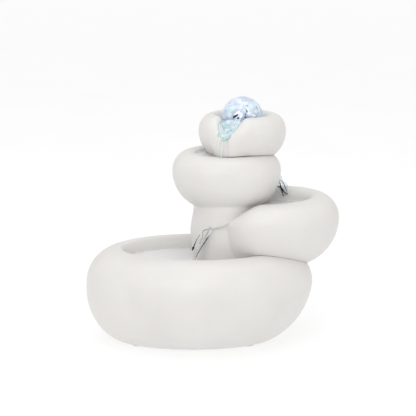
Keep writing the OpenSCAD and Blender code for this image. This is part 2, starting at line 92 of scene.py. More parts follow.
def add_node(
    tree: bpy.types.NodeTree,
    kind: str,
    settings: Optional[dict[str, Any]] = None,
    links: Optional[dict[str, bpy.types.NodeSocket]] = None,
) -> bpy.types.Node:
    """Add a shader node with its settings and links.

    Args:
        tree: Node tree that the node goes in.
        kind: Type of the node without its "ShaderNode" prefix.
        settings: Values by the name of an input socket or of a property of the node.
        links: Output sockets by the name of the input socket that each one feeds.

    Returns:
        The new node.
    """
    node = tree.nodes.new("ShaderNode" + kind)
    for name, value in (settings or {}).items():
        if name in node.inputs:
            node.inputs[name].default_value = value
        else:
            setattr(node, name, value)
    for name, socket in (links or {}).items():
        tree.links.new(socket, node.inputs[name])
    return node


def add_ramp(
    tree: bpy.types.NodeTree, source: bpy.types.NodeSocket, stops: Sequence[tuple[float, str]]
) -> bpy.types.NodeSocket:
    """Add a colour ramp.

    Args:
        tree: Node tree that the ramp goes in.
        source: Socket that drives the ramp.
        stops: Position and hex colour of each stop, in order.

    Returns:
        The ramp's colour output.
    """
    ramp = add_node(tree, "ValToRGB", links={"Fac": source})
    elements = ramp.color_ramp.elements
    while len(elements) < len(stops):
        elements.new(1.0)
    for element, (position, code) in zip(elements, stops):
        element.position = position
        element.color = linear(code)
    return ramp.outputs["Color"]


def new_object(name: str, mesh: bpy.types.Mesh) -> bpy.types.Object:
    """Put a mesh in the scene as an object of the same name.

    Args:
        name: Name of the new object.
        mesh: Its mesh.

    Returns:
        The object.
    """
    mesh.name = name
    piece = bpy.data.objects.new(name, mesh)
    bpy.context.scene.collection.objects.link(piece)
    return piece


def from_lists(
    name: str, points: Sequence[Triple], faces: Sequence[Sequence[int]]
) -> bpy.types.Object:
    """Make an object from points and faces.

    Args:
        name: Name of the new object.
        points: Its points, in metres.
        faces: Its faces, each a list of point numbers.

    Returns:
        The object.
    """
    mesh = bpy.data.meshes.new(name)
    mesh.from_pydata([tuple(p) for p in points], [], [tuple(f) for f in faces])
    mesh.validate()
    return new_object(name, mesh)


def lofted(
    name: str, rings: Sequence[Sequence[Triple]], caps: bool = True
) -> bpy.types.Object:
    """Skin a row of closed rings that all have the same number of points.

    Args:
        name: Name of the new object.
        rings: Rings in order, each a list of points in metres.
        caps: Whether the first and last ring are closed with a fan round their middle.

    Returns:
        The object, with its faces turned outwards.
    """
    count = len(rings[0])
    points = [tuple(p) for ring in rings for p in ring]
    faces: list[tuple[int, ...]] = []
    for r in range(len(rings) - 1):
        for k in range(count):
            b = (k + 1) % count
            faces.append((r * count + k, r * count + b, (r + 1) * count + b, (r + 1) * count + k))
    if caps:
        for ring, start in ((rings[0], 0), (rings[-1], (len(rings) - 1) * count)):
            centre = len(points)
            points.append(tuple(sum((Vector(p) for p in ring), Vector()) / count))
            faces += [(start + k, start + (k + 1) % count, centre) for k in range(count)]
    piece = from_lists(name, points, faces)
    edit_mesh(piece, lambda bm: bmesh.ops.recalc_face_normals(bm, faces=bm.faces))
    return piece


def edit_mesh(piece: bpy.types.Object, change: Callable[[bmesh.types.BMesh], Any]) -> None:
    """Open an object's mesh, apply a change to it and close it again.

    Args:
        piece: The object.
        change: What is done to its mesh.
    """
    bm = bmesh.new()
    bm.from_mesh(piece.data)
    change(bm)
    bm.to_mesh(piece.data)
    bm.free()


def apply_modifiers(piece: bpy.types.Object) -> None:
    """Make an object's modifiers part of its mesh and take them away.

    Args:
        piece: The object.
    """
    graph = bpy.context.evaluated_depsgraph_get()
    mesh = bpy.data.meshes.new_from_object(piece.evaluated_get(graph))
    piece.modifiers.clear()
    piece.data = mesh
    mesh.name = piece.name


class Cut(Enum):
    """What a second solid does to a first."""

    TAKE = "DIFFERENCE"
    JOIN = "UNION"


def combine(piece: bpy.types.Object, others: Iterable[bpy.types.Object], how: Cut) -> None:
    """Join solids to a piece or take them out of it, and remove them from the scene.

    Args:
        piece: The solid that stays.
        others: The solids that it is combined with, one after another.
        how: Whether they are joined or taken out.
    """
    for other in others:
        boolean = piece.modifiers.new("combine", "BOOLEAN")
        boolean.operation = how.value
        boolean.solver = "MANIFOLD"
        boolean.object = other
        apply_modifiers(piece)
        bpy.data.objects.remove(other)


def soften(piece: bpy.types.Object, voxel: float, passes: int) -> None:
    """Melt the joins of a piece into soft fillets, as wet clay is sponged smooth.

    Args:
        piece: A closed piece.
        voxel: Size of the new mesh's squares, in metres.
        passes: How many times the mesh is relaxed.
    """
    remesh = piece.modifiers.new("remesh", "REMESH")
    remesh.mode = "VOXEL"
    remesh.voxel_size = voxel
    relax = piece.modifiers.new("relax", "SMOOTH")
    relax.iterations = passes
    relax.factor = 0.5
    apply_modifiers(piece)


def shade(piece: bpy.types.Object, sharp_deg: float = 40.0) -> None:
    """Shade a piece smooth, apart from edges sharper than an angle in degrees."""
    piece.data.shade_smooth()
    piece.data.set_sharp_from_angle(angle=math.radians(sharp_deg))


def settle(
    piece: bpy.types.Object,
    finish: bpy.types.Material,
    body: str,
    stands_for: Sequence[str] = (),
) -> None:
    """Give a new piece its finish and its place in the frame, and report it.

    Args:
        piece: The piece, in the row frame.
        finish: Its material.
        body: CAD body that it moves with.
        stands_for: CAD nodes that it takes the place of.
    """
    piece.data.materials.clear()
    piece.data.materials.append(finish)
    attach(piece, body)
    if stands_for:
        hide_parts(*stands_for)
    log.info("%s: %d faces, rides on %s", piece.name, len(piece.data.polygons), body)


def dress(nodes: Iterable[str], finish: bpy.types.Material) -> None:
    """Give CAD nodes that keep their own shape a material.

    Args:
        nodes: Names of the nodes.
        finish: The material.
    """
    for name in nodes:
        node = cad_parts[name]
        for entry in node.material_slots:
            entry.material = finish
        if not node.material_slots:
            node.data.materials.append(finish)
        log.info("%s keeps its CAD shape, finished in %s", name, finish.name)


# ---------------------------------------------------------------- finishes


class Pattern(Enum):
    """How the fine detail of a surface is laid out."""

    CLOUD = "cloud"
    CELLS = "cells"
    BANDS = "bands"
    BRUSHED = "brushed"


@dataclass(frozen=True)
class Finish:
    """A real material and the detail that its making leaves on it.

    Colours are sRGB hex values, and every size is in real millimetres.
    """

    name: str
    colour: str
    tone: str
    tone_mm: float
    grain_mm: float
    grain_depth_mm: float
    roughness: float
    roughness_spread: float = 0.06
    pattern: Pattern = Pattern.CLOUD
    metallic: float = 0.0
    ior: float = 1.5
    coat: float = 0.0
    coat_roughness: float = 0.1
    sheen: float = 0.0
    subsurface: float = 0.0
    transmission: float = 0.0
    glow: str = ""
    glow_strength: float = 0.0

    def build(self) -> bpy.types.Material:
        """Build the material's nodes.

        Returns:
            The material.
        """
        material = bpy.data.materials.new(self.name)
        material.use_nodes = True
        tree = material.node_tree
        shader = tree.nodes["Principled BSDF"]
        place = add_node(tree, "TexCoord").outputs["Object"]
        tone = add_node(
            tree, "TexNoise", {"Scale": 1 / (self.tone_mm * MM), "Detail": 3.0}, {"Vector": place}
        )
        colours = [(0.35, self.colour), (0.75, self.tone)]
        tree.links.new(add_ramp(tree, tone.outputs["Fac"], colours), shader.inputs["Base Color"])
        grain = self.grain(tree, place)
        spread = add_node(
            tree,
            "MapRange",
            {
                "To Min": max(0.0, self.roughness - self.roughness_spread),
                "To Max": min(1.0, self.roughness + self.roughness_spread),
            },
            {"Value": grain},
        )
        tree.links.new(spread.outputs["Result"], shader.inputs["Roughness"])
        if self.grain_depth_mm > 0:
            relief = add_node(
                tree,
                "Bump",
                {"Strength": 1.0, "Distance": self.grain_depth_mm * MM},
                {"Height": grain},
            )
            tree.links.new(relief.outputs["Normal"], shader.inputs["Normal"])
        self.set_shader(shader)
        return material

    def grain(
        self, tree: bpy.types.NodeTree, place: bpy.types.NodeSocket
    ) -> bpy.types.NodeSocket:
        """Add the texture of the fine detail.

        Args:
            tree: Node tree of the material.
            place: Socket with the place on the object, in metres.

        Returns:
            Socket with the height of the detail, from 0 to 1.
        """
        scale = 1 / (self.grain_mm * MM)
        if self.pattern is Pattern.CELLS:
            cells = add_node(tree, "TexVoronoi", {"Scale": scale}, {"Vector": place})
            return cells.outputs["Distance"]
        if self.pattern is Pattern.BANDS:
            bands = add_node(
                tree,
                "TexWave",
                {"Scale": scale / 20, "Distortion": 0.4, "Detail": 1.0, "bands_direction": "Y"},
                {"Vector": place},
            )
            return bands.outputs["Fac"]
        if self.pattern is Pattern.BRUSHED:
            stretch = add_node(tree, "Mapping", {"Scale": (0.05, 1.0, 1.0)}, {"Vector": place})
            place = stretch.outputs["Vector"]
        cloud = add_node(tree, "TexNoise", {"Scale": scale, "Detail": 4.0}, {"Vector": place})
        return cloud.outputs["Fac"]

    def set_shader(self, shader: bpy.types.Node) -> None:
        """Set what is the same all over the surface on the shader's own sockets.

        Args:
            shader: The material's Principled BSDF.
        """
        shader.inputs["Metallic"].default_value = self.metallic
        if self.metallic < 0.5:
            shader.inputs["IOR"].default_value = self.ior
        shader.inputs["Coat Weight"].default_value = self.coat
        shader.inputs["Coat Roughness"].default_value = self.coat_roughness
        shader.inputs["Sheen Weight"].default_value = self.sheen
        shader.inputs["Subsurface Weight"].default_value = self.subsurface
        shader.inputs["Subsurface Scale"].default_value = 2 * MM
        shader.inputs["Transmission Weight"].default_value = self.transmission
        if self.glow:
            shader.inputs["Emission Color"].default_value = linear(self.glow)
            shader.inputs["Emission Strength"].default_value = self.glow_strength


# Slip-cast stoneware under a matt white glaze: soft and almost even, with a broad warm and cool
# drift where the glaze lies thicker, and a faint pebble that spreads the highlights.
MATT_GLAZE = Finish(
    name="matt_glaze", colour="#DDDBD8", tone="#D8D6D2", tone_mm=34, grain_mm=1.6,
    grain_depth_mm=0.02, roughness=0.42, roughness_spread=0.05, ior=1.5, coat=0.12,
    coat_roughness=0.28, subsurface=0.04,
)
# Cast acrylic, clear and a little milky at its edges, which carries the light up to the ball. Its
# faint blue glow is painted light of the diodes.
CLEAR_ACRYLIC = Finish(
    name="clear_acrylic", colour="#E6F5FF", tone="#CFEBFF", tone_mm=9, grain_mm=2.5,
    grain_depth_mm=0.01, roughness=0.12, ior=1.49, transmission=0.75, glow="#A9DDFF",
    glow_strength=0.1,
)
# Opal polycarbonate over the diodes: it scatters their blue, so it looks lit from inside.
OPAL_POLYCARBONATE = Finish(
    name="opal_polycarbonate", colour="#DFF2FF", tone="#BFE6FF", tone_mm=7, grain_mm=0.8,
    grain_depth_mm=0.01, roughness=0.35, ior=1.58, subsurface=0.4, glow="#8FD2FF",
    glow_strength=0.4,
)
# Epoxy domes of lit blue diodes, bright at the crown.
LIT_DIODE = Finish(
    name="lit_diode", colour="#BFE9FF", tone="#7CCBFF", tone_mm=2, grain_mm=0.7,
    grain_depth_mm=0.0, roughness=0.15, ior=1.5, glow="#6EC4FF", glow_strength=1.6,
)
# Soft PVC hose, cloudy where water has stood in it.
PVC_HOSE = Finish(
    name="pvc_hose", colour="#E4E8EA", tone="#CDD5D8", tone_mm=14, grain_mm=1.2,
    grain_depth_mm=0.015, roughness=0.3, ior=1.53, subsurface=0.3, coat=0.2,
)
# Moulded silicone, matt and dusty, with a grey tint.
SILICONE = Finish(
    name="silicone", colour="#DEDEDA", tone="#CFCFCA", tone_mm=6, grain_mm=0.5,
    grain_depth_mm=0.01, roughness=0.6, ior=1.41, subsurface=0.2,
)
# Grey silicone of the suction cups, darker and tackier than the seal.
CUP_SILICONE = replace(SILICONE, name="cup_silicone", colour="#A4A4A6", tone="#8E8E92")
# Moulded ABS of the pump, black with the fine spark-eroded texture of its tool.
SPARKED_ABS = Finish(
    name="sparked_abs", colour="#26272A", tone="#1E1F22", tone_mm=12, grain_mm=0.35,
    grain_depth_mm=0.03, roughness=0.48, ior=1.52, coat=0.05,
)
# The same ABS in dark grey, for what a finger turns.
GREY_ABS = replace(SPARKED_ABS, name="grey_abs", colour="#56585C", tone="#4A4C50")
# White moulded polypropylene of the impeller, waxy and smooth.
POLYPROPYLENE = Finish(
    name="polypropylene", colour="#E9E9E6", tone="#DDDDD8", tone_mm=5, grain_mm=0.6,
    grain_depth_mm=0.008, roughness=0.38, ior=1.49, subsurface=0.15,
)
# Nitrile rubber, black and matt, with the talc bloom of a new seal.
NITRILE = Finish(
    name="nitrile_rubber", colour="#1D1D1E", tone="#2A2A2B", tone_mm=4, grain_mm=0.4,
    grain_depth_mm=0.015, roughness=0.72, ior=1.52, sheen=0.15,
)
# EVA foam pads under the basin, off-white with closed cells.
EVA_PAD = Finish(
    name="eva_pad", colour="#DEDEDC", tone="#D2D2CF", tone_mm=3, grain_mm=0.5,
    grain_depth_mm=0.06, roughness=0.85, pattern=Pattern.CELLS, sheen=0.1,
)
# Open-cell polyurethane foam, so coarse that its pores show.
OPEN_FOAM = Finish(
    name="open_cell_foam", colour="#38393B", tone="#242527", tone_mm=2, grain_mm=1.1,
    grain_depth_mm=0.5, roughness=0.95, pattern=Pattern.CELLS, sheen=0.3,
)
# Stacked silicon-steel sheets with their cut edges showing. The 0.5 mm sheets are drawn at 1 mm,
# because thinner ones would not show.
SHEET_STEEL = Finish(
    name="stacked_sheet_steel", colour="#9C9EA1", tone="#85878B", tone_mm=6, grain_mm=1.0,
    grain_depth_mm=0.08, roughness=0.4, pattern=Pattern.BANDS, metallic=1.0,
)
# Enamelled copper wire wound in layers, with the turns 0.6 mm apart.
COPPER_WIRE = Finish(
    name="enamelled_copper", colour="#C9793F", tone="#A95D2C", tone_mm=4, grain_mm=0.6,
    grain_depth_mm=0.15, roughness=0.3, pattern=Pattern.BANDS, metallic=1.0, coat=0.5,
)
# Sintered ferrite, dark grey and slightly porous.
FERRITE = Finish(
    name="sintered_ferrite", colour="#3A3A3D", tone="#2E2E31", tone_mm=3, grain_mm=0.3,
    grain_depth_mm=0.02, roughness=0.55, ior=2.0,
)
# Ground zirconia rod, white and very smooth.
ZIRCONIA = Finish(
    name="ground_zirconia", colour="#F4F4EF", tone="#EAEAE4", tone_mm=3, grain_mm=0.4,
    grain_depth_mm=0.003, roughness=0.18, pattern=Pattern.BRUSHED, ior=2.1,
)
# Bright nickel plate over brass, with the fine lines of the bar that it was turned from.
NICKEL_PLATE = Finish(
    name="nickel_plate", colour="#D9D6CF", tone="#C9C6BF", tone_mm=5, grain_mm=0.3,
    grain_depth_mm=0.004, roughness=0.2, pattern=Pattern.BRUSHED, metallic=1.0,
)
# White PVC sheath of the light's lead, satin.
WHITE_SHEATH = Finish(
    name="white_pvc_sheath", colour="#E8E8E5", tone="#DCDCD8", tone_mm=10, grain_mm=0.6,
    grain_depth_mm=0.01, roughness=0.42, ior=1.53,
)
# Black PVC sheath of the pump's lead, satin.
BLACK_SHEATH = replace(WHITE_SHEATH, name="black_pvc_sheath", colour="#232425", tone="#2C2D2E")


@dataclass(frozen=True)
class CloudedCrystal:
    """Crackled crystal with a pearly film: blue and lilac clouds under a clear polished skin; their
    blue is partly painted diode light, and they glow faintly as painted light.
    """

    name: str = "clouded_crystal"
    cloud_mm: float = 13.0
    crackle_mm: float = 5.0
    share_of_film: float = 0.62

    def build(self) -> bpy.types.Material:
        """Build the material.

        Returns:
            The material: clouds of pearl film, with clear gaps that show the flakes inside.
        """
        material = bpy.data.materials.new(self.name)
        material.use_nodes = True
        tree = material.node_tree
        film = tree.nodes["Principled BSDF"]
        place = add_node(tree, "TexCoord").outputs["Object"]
        cloud = add_node(
            tree,
            "TexNoise",
            {"Scale": 1 / (self.cloud_mm * MM), "Detail": 2.0, "Distortion": 1.2},
            {"Vector": place},
        )
        # The pastels are the film's own colours, and the pale blue is partly painted light of the
        # diodes below
        stops = [
            (0.30, "#D3D5EA"), (0.42, "#F1F3F9"), (0.49, "#E0E9F3"), (0.55, "#D4EFEA"),
            (0.62, "#F2F3F9"), (0.72, "#DCD4EC"),
        ]
        colour = add_ramp(tree, cloud.outputs["Fac"], stops)
        tree.links.new(colour, film.inputs["Base Color"])
        # Painted light: the clouds' colour also glows faintly, standing in for the diodes' light
        # inside the ball
        tree.links.new(colour, film.inputs["Emission Color"])
        film.inputs["Emission Strength"].default_value = 0.05
        film.inputs["Roughness"].default_value = 0.12
        film.inputs["Coat Weight"].default_value = 0.8
        film.inputs["Coat Roughness"].default_value = 0.02
        crackle = add_node(
            tree,
            "TexVoronoi",
            {"Scale": 1 / (self.crackle_mm * MM), "feature": "SMOOTH_F1"},
            {"Vector": place},
        )
        relief = add_node(
            tree,
            "Bump",
            {"Strength": 0.5, "Distance": 0.6 * MM},
            {"Height": crackle.outputs["Distance"]},
        )
        tree.links.new(relief.outputs["Normal"], film.inputs["Normal"])
        clear = add_node(tree, "BsdfTransparent", {"Color": linear("#F2F7FF")})
        gaps = add_ramp(
            tree, crackle.outputs["Distance"], [(0.18, "#D8D8D8"), (0.62, "#5A5A5A")]
        )
        both = add_node(
            tree, "MixShader", links={"Fac": gaps, "Shader": clear.outputs["BSDF"]}
        )
        tree.links.new(film.outputs["BSDF"], both.inputs[2])
        tree.links.new(both.outputs["Shader"], tree.nodes["Material Output"].inputs["Surface"])
        return material


@dataclass(frozen=True)
class WaterSkin:
    """A thin sheet of water over something pale: clear, glossy, with folds that show dark as a
    painted reflection, and an optional glow that is painted light.
    """

    name: str
    fold_mm: float
    fold_depth_mm: float
    tint: str = "#FFFFFF"
    # Painted reflection: the colour that the folds take, and the share of the folds that take it
    painted_reflection: str = "#5A6066"
    painted_reflection_share: float = 0.0
    fold_stretch: float = 6.0
    # Painted light: a glow that stands in for the diodes' light in the water
    glow: str = ""
    glow_strength: float = 0.0
    milk: str = "#303030"

    def build(self) -> bpy.types.Material:
        """Build the material.

        Returns:
            The material. Its folds run along the flow, which the mesh's UV map carries in metres.
        """
        material = bpy.data.materials.new(self.name)
        material.use_nodes = True
        tree = material.node_tree
        gloss = tree.nodes["Principled BSDF"]
        flow = add_node(tree, "TexCoord").outputs["UV"]
        along = add_node(
            tree, "Mapping", {"Scale": (1.0, 1 / self.fold_stretch, 1.0)}, {"Vector": flow}
        )
        folds = add_node(
            tree,
            "TexNoise",
            {"Scale": 1 / (self.fold_mm * MM), "Detail": 2.0, "Distortion": 0.8},
            {"Vector": along.outputs["Vector"]},
        )
        relief = add_node(
            tree,
            "Bump",
            {"Strength": 1.0, "Distance": self.fold_depth_mm * MM},
            {"Height": folds.outputs["Fac"]},
        )
        tree.links.new(relief.outputs["Normal"], gloss.inputs["Normal"])
        # Painted reflection: folds past the edge take the reflection colour instead of white
        edge = 0.5 + 0.22 * (1 - self.painted_reflection_share)
        painted_reflection_stops = [(edge - 0.02, "#FFFFFF"), (edge + 0.02, self.painted_reflection)]
        colour = add_ramp(tree, folds.outputs["Fac"], painted_reflection_stops)
        tree.links.new(colour, gloss.inputs["Base Color"])
        gloss.inputs["Roughness"].default_value = 0.03
        gloss.inputs["IOR"].default_value = 1.333
        # Painted light: emission that stands in for the diodes' light in the water
        if self.glow:
            gloss.inputs["Emission Color"].default_value = linear(self.glow)
            gloss.inputs["Emission Strength"].default_value = self.glow_strength
        clear = add_node(tree, "BsdfTransparent", {"Color": linear(self.tint)})
        rim = add_node(tree, "Fresnel", {"IOR": 1.333}, {"Normal": relief.outputs["Normal"]})
        body = [(edge - 0.02, self.milk), (edge + 0.02, "#FFFFFF")]
        dark = add_ramp(tree, folds.outputs["Fac"], body)
        share = add_node(tree, "Mix", {"data_type": "RGBA", "blend_type": "SCREEN"})
        share.inputs["Factor"].default_value = 1.0
        tree.links.new(rim.outputs["Fac"], share.inputs["A"])
        tree.links.new(dark, share.inputs["B"])
        both = add_node(tree, "MixShader", links={"Shader": clear.outputs["BSDF"]})
        tree.links.new(share.outputs["Result"], both.inputs["Fac"])
        tree.links.new(gloss.outputs["BSDF"], both.inputs[2])
        tree.links.new(both.outputs["Shader"], tree.nodes["Material Output"].inputs["Surface"])
        return material


# ---------------------------------------------------------------- bowls


@dataclass(frozen=True)
class Spout:
    """Lip of a bowl: where it points, how wide and sharp it is, and its heights and insets.

    Angles are in degrees from +X, sizes in millimetres.
    """

    angle: float
    low: float
    high: float
    power: float
    lip_in: float
    lip_z: float
    belly_z: float
    wall_in: float
    wall_z: float

    def share(self, angle: float) -> float:
        """Return how much of the spout there is at an angle: 1 at its middle, 0 outside it."""
        return bump(angle, self.angle, self.low, self.high) ** self.power


def bump(angle: float, at: float, low: float, high: float) -> float:
    """Work out a soft hump over angles, in degrees.

    Args:
        angle: Where it is asked for.
        at: Angle of its crest.
        low: How far it spreads below the crest.
        high: How far it spreads above the crest.

    Returns:
        1 at the crest, falling to 0 at the end of the spread on either side.
    """
    off = (angle - at + 540) % 360 - 180
    width = high if off > 0 else low
    return 0.0 if abs(off) >= width else (1 + math.cos(math.pi * off / width)) / 2


# Stands in for the spout of a bowl that has none
NO_SPOUT = Spout(
    angle=0, low=1, high=1, power=1, lip_in=0, lip_z=0, belly_z=0, wall_in=0, wall_z=0
)


@dataclass(frozen=True)
class BowlShape:
    """A puffy oval bowl: its plan, its section, its spout and how it leans. Millimetres."""

    at: Pair
    half: Pair
    foot_z: float
    belly_z: float
    rim_z: float
    rise: float
    rise_to: float
    under: Pair
    rim_in: float
    wall_in: float
    wall_z: float
    floor_curve: float
    floor_z: float
    stretch: float = 1.0
    spout: Optional[Spout] = None
    tuck: Triple = (0.0, 1.0, 0.0)
    lean: float = 0.0

    def section(self, angle: float, steps: int) -> list[Pair]:
        """Work out the bowl's section at an angle.

        Args:
            angle: Angle round the bowl, in degrees from +X.
            steps: Steps in each of the section's four quarters.

        Returns:
            Inset and height of each point, from the foot up the outside, over the rim and down the
            inside to the edge of the floor.
        """
        g = self.spout.share(angle) if self.spout else 0.0
        lip = self.spout or NO_SPOUT
        tuck = self.tuck[2] * bump(angle, self.tuck[0], self.tuck[1], self.tuck[1])
        rise = self.rise * math.cos(math.radians(angle - self.rise_to))
        belly = mix(self.belly_z, lip.belly_z, g)
        rim = (mix(self.rim_in, lip.lip_in, g), mix(self.rim_z + rise, lip.lip_z, g))
        wall = (mix(self.wall_in, lip.wall_in, g), mix(self.wall_z + rise / 2, lip.wall_z, g))
        first = math.acos(min(1.0, (belly - self.foot_z) / self.under[1]))
        points: list[Pair] = []
        for i in range(steps):
            t = mix(first, math.pi / 2, i / steps)
            inset = tuck + self.under[0] * (1 - math.sin(t))
            points.append((inset, belly - self.under[1] * math.cos(t)))
        for i in range(steps):
            t = math.pi / 2 * i / steps
            points.append((mix(rim[0], tuck, math.cos(t)), mix(belly, rim[1], math.sin(t))))
        for i in range(steps):
            t = math.pi / 2 * i / steps
            points.append((mix(rim[0], wall[0], math.sin(t)), mix(wall[1], rim[1], math.cos(t))))
        for i in range(steps + 1):
            t = math.pi / 2 * i / steps
            inset = wall[0] + self.floor_curve * (1 - math.cos(t))
            points.append((inset, mix(wall[1], self.floor_z, math.sin(t))))
        return points

    def rings(self, turns: int, steps: int) -> list[list[Triple]]:
        """Work out the rings of the bowl.

        Args:
            turns: Points in each ring.
            steps: Steps in each quarter of the section.

        Returns:
            One ring for each row of the section, in metres.
        """
        sections = [self.section(360 * k / turns, steps) for k in range(turns)]
        rings: list[list[Triple]] = []
        for row in range(len(sections[0])):
            ring = []
            for k in range(turns):
                inset, height = sections[k][row]
                angle = 360 * k / turns
                stretch = self.stretch if row > steps else 1.0
                down = (self.belly_z - height) / (self.belly_z - self.foot_z)
                lean = self.lean * down if row < steps else 0.0
                a = math.radians(angle)
                x = self.at[0] + (self.half[0] - inset * stretch) * math.cos(a) + lean
                y = self.at[1] + (self.half[1] - inset) * math.sin(a)
                ring.append((x * MM, y * MM, height * MM))
            rings.append(ring)
        return rings

    def solid(self, name: str, turns: int = 176, steps: int = 14) -> bpy.types.Object:
        """Build the bowl as one closed solid."""
        return lofted(name, self.rings(turns, steps))

    def grown(self, by: float) -> "BowlShape":
        """Grow the bowl all over.

        Args:
            by: How far, in millimetres. A negative distance shrinks it, for the room in its wall.

        Returns:
            The grown bowl.
        """
        lip = self.spout
        if lip:
            lip_in = lip.lip_in + by if by > 0 else max(lip.lip_in, 0) + 3 + self.tuck[2]
            wall_in = lip.wall_in - by if by > 0 else max(lip.wall_in + 2 * by, lip_in + 1)
            lip = replace(
                lip, lip_in=lip_in, lip_z=lip.lip_z + by, wall_in=wall_in, wall_z=lip.wall_z + by
            )
        return replace(
            self,
            half=(self.half[0] + by, self.half[1] + by),
            foot_z=self.foot_z - by,
            rim_z=self.rim_z + by,
            under=(self.under[0], self.under[1] + by),
            rim_in=self.rim_in + by,
            wall_in=self.wall_in + 2 * by,
            floor_z=self.floor_z + by,
            spout=lip,
        )

    def shaved(self, by: float) -> "BowlShape":
        """Shave the bowl's clay off all over, but leave its lip whole.

        Args:
            by: How far, in millimetres.

        Returns:
            The shaved bowl.
        """
        lip = self.spout
        lip = replace(
            lip, lip_z=lip.lip_z - by, wall_in=lip.wall_in - 2 * by, wall_z=lip.wall_z - by
        )
        return replace(
            self,
            half=(self.half[0] - by, self.half[1] - by),
            foot_z=self.foot_z + by,
            rim_z=self.rim_z - by,
            under=(self.under[0], self.under[1] - by),
            wall_in=self.wall_in - 2 * by,
            wall_z=self.wall_z - by,
            floor_z=self.floor_z - by,
            spout=lip,
        )

    def water(self, name: str, level: float, turns: int = 128, steps: int = 8) -> bpy.types.Object:
        """Build the water surface inside the bowl.

        Args:
            name: Name of the new object.
            level: Height of the surface, in millimetres.
            turns: Points round the surface.
            steps: Steps in each quarter of the section that is searched.

        Returns:
            A closed lens of water, 1.5 mm deep, that reaches a little into the wall.
        """
        edge: list[Pair] = []
        for k in range(turns):
            angle = 360 * k / turns
            inside = self.section(angle, steps)[2 * steps :]
            inset = inside[-1][0]
            for (i0, z0), (i1, z1) in zip(inside, inside[1:]):
                if z1 <= level <= z0 and z0 > z1:
                    inset = mix(i0, i1, (z0 - level) / (z0 - z1))
                    break
            edge.append((angle, inset - 0.5))
        rings: list[list[Triple]] = []
        # Share of the way to the wall and depth of each ring, from the lens's under side to its top
        lens = ((0.0, 1.5), (0.97, 1.5), (1.0, 0.6), (1.0, 0.0), (0.97, -0.15), (0.0, 0.0))
        for share, depth in lens:
            ring = []
            for angle, inset in edge:
                a = math.radians(angle)
                rx = (self.half[0] - inset * self.stretch) * max(share, 0.02)
                ry = (self.half[1] - inset) * max(share, 0.02)
                ring.append(
                    (
                        (self.at[0] + rx * math.cos(a)) * MM,
                        (self.at[1] + ry * math.sin(a)) * MM,
                        (level - depth) * MM,
                    )
                )
            rings.append(ring)
        return lofted(name, rings)


class Axis(Enum):
    """Which way a round hole runs."""

    Y = "Y"
    Z = "Z"


def cylinder(
    name: str, centre: Triple, radius: float, length: float, axis: Axis = Axis.Z, sides: int = 64
) -> bpy.types.Object:
    """Build a cutter for a round hole.

    Args:
        name: Name of the new object.
        centre: Middle of the end where it starts, in millimetres.
        radius: Its radius, in millimetres.
        length: Its length, in millimetres, towards + on its axis.
        axis: The axis that it runs along.
        sides: Number of sides.

    Returns:
        The closed cylinder.
    """
    rings = []
    for end in (0.0, length):
        ring = []
        for k in range(sides):
            a = 2 * math.pi * k / sides
            u, v = radius * math.cos(a), radius * math.sin(a)
            if axis is Axis.Y:
                point = (centre[0] + u, centre[1] + end, centre[2] + v)
            else:
                point = (centre[0] + u, centre[1] + v, centre[2] + end)
            ring.append(tuple(c * MM for c in point))
        rings.append(ring)
    return lofted(name, rings)


def middle_and_half(node: str) -> tuple[Pair, Pair, float]:
    """Read a bowl's plan from its CAD box.

    Args:
        node: CAD node of the bowl.

    Returns:
        Its middle, its half sizes and the height of its top, in millimetres.
    """
    low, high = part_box(node)
    centre = (low + high) / 2 / MM
    half = (high - low) / 2 / MM
    return (centre.x, centre.y), (half.x, half.y), high.z / MM


@dataclass(frozen=True)
class LegShape:
    """The oval leg of the tower: height, half sizes and middle of each of its levels, in mm."""

    levels: tuple[tuple[float, float, float, float, float], ...] = (
        (24.4, 30, 24, 15, 4),
        (62, 30, 23, 14, 5),
        (104, 34.5, 29, 13, 10),
        (130, 31, 31, 13, 15),
        (146, 28, 28, 14, 18),
    )

    def solid(
        self, name: str, low: float, high: float, inset: float, turns: int = 128, rows: int = 60
    ) -> bpy.types.Object:
        """Build the leg, or the room inside it, between two heights.

        Args:
            name: Name of the new object.
            low: Lower height, in millimetres.
            high: Upper height, in millimetres.
            inset: How far it is drawn in from the leg's outside.
            turns: Points round it.
            rows: Rows up it.

        Returns:
            The closed solid.
        """
        rings = []
        for r in range(rows + 1):
            z = mix(low, high, r / rows)
            last = len(self.levels) - 2
            pair = next((i for i in range(last) if z < self.levels[i + 1][0]), last)
            a, b = self.levels[pair], self.levels[pair + 1]
            t = smooth((z - a[0]) / (b[0] - a[0]))
            rx, ry, x, y = (mix(a[j], b[j], t) for j in range(1, 5))
            ring = []
            for k in range(turns):
                turn = 2 * math.pi * k / turns
                px = x + (rx - inset) * math.cos(turn)
                py = y + (ry - inset) * math.sin(turn)
                ring.append((px * MM, py * MM, z * MM))
            rings.append(ring)
        return lofted(name, rings)


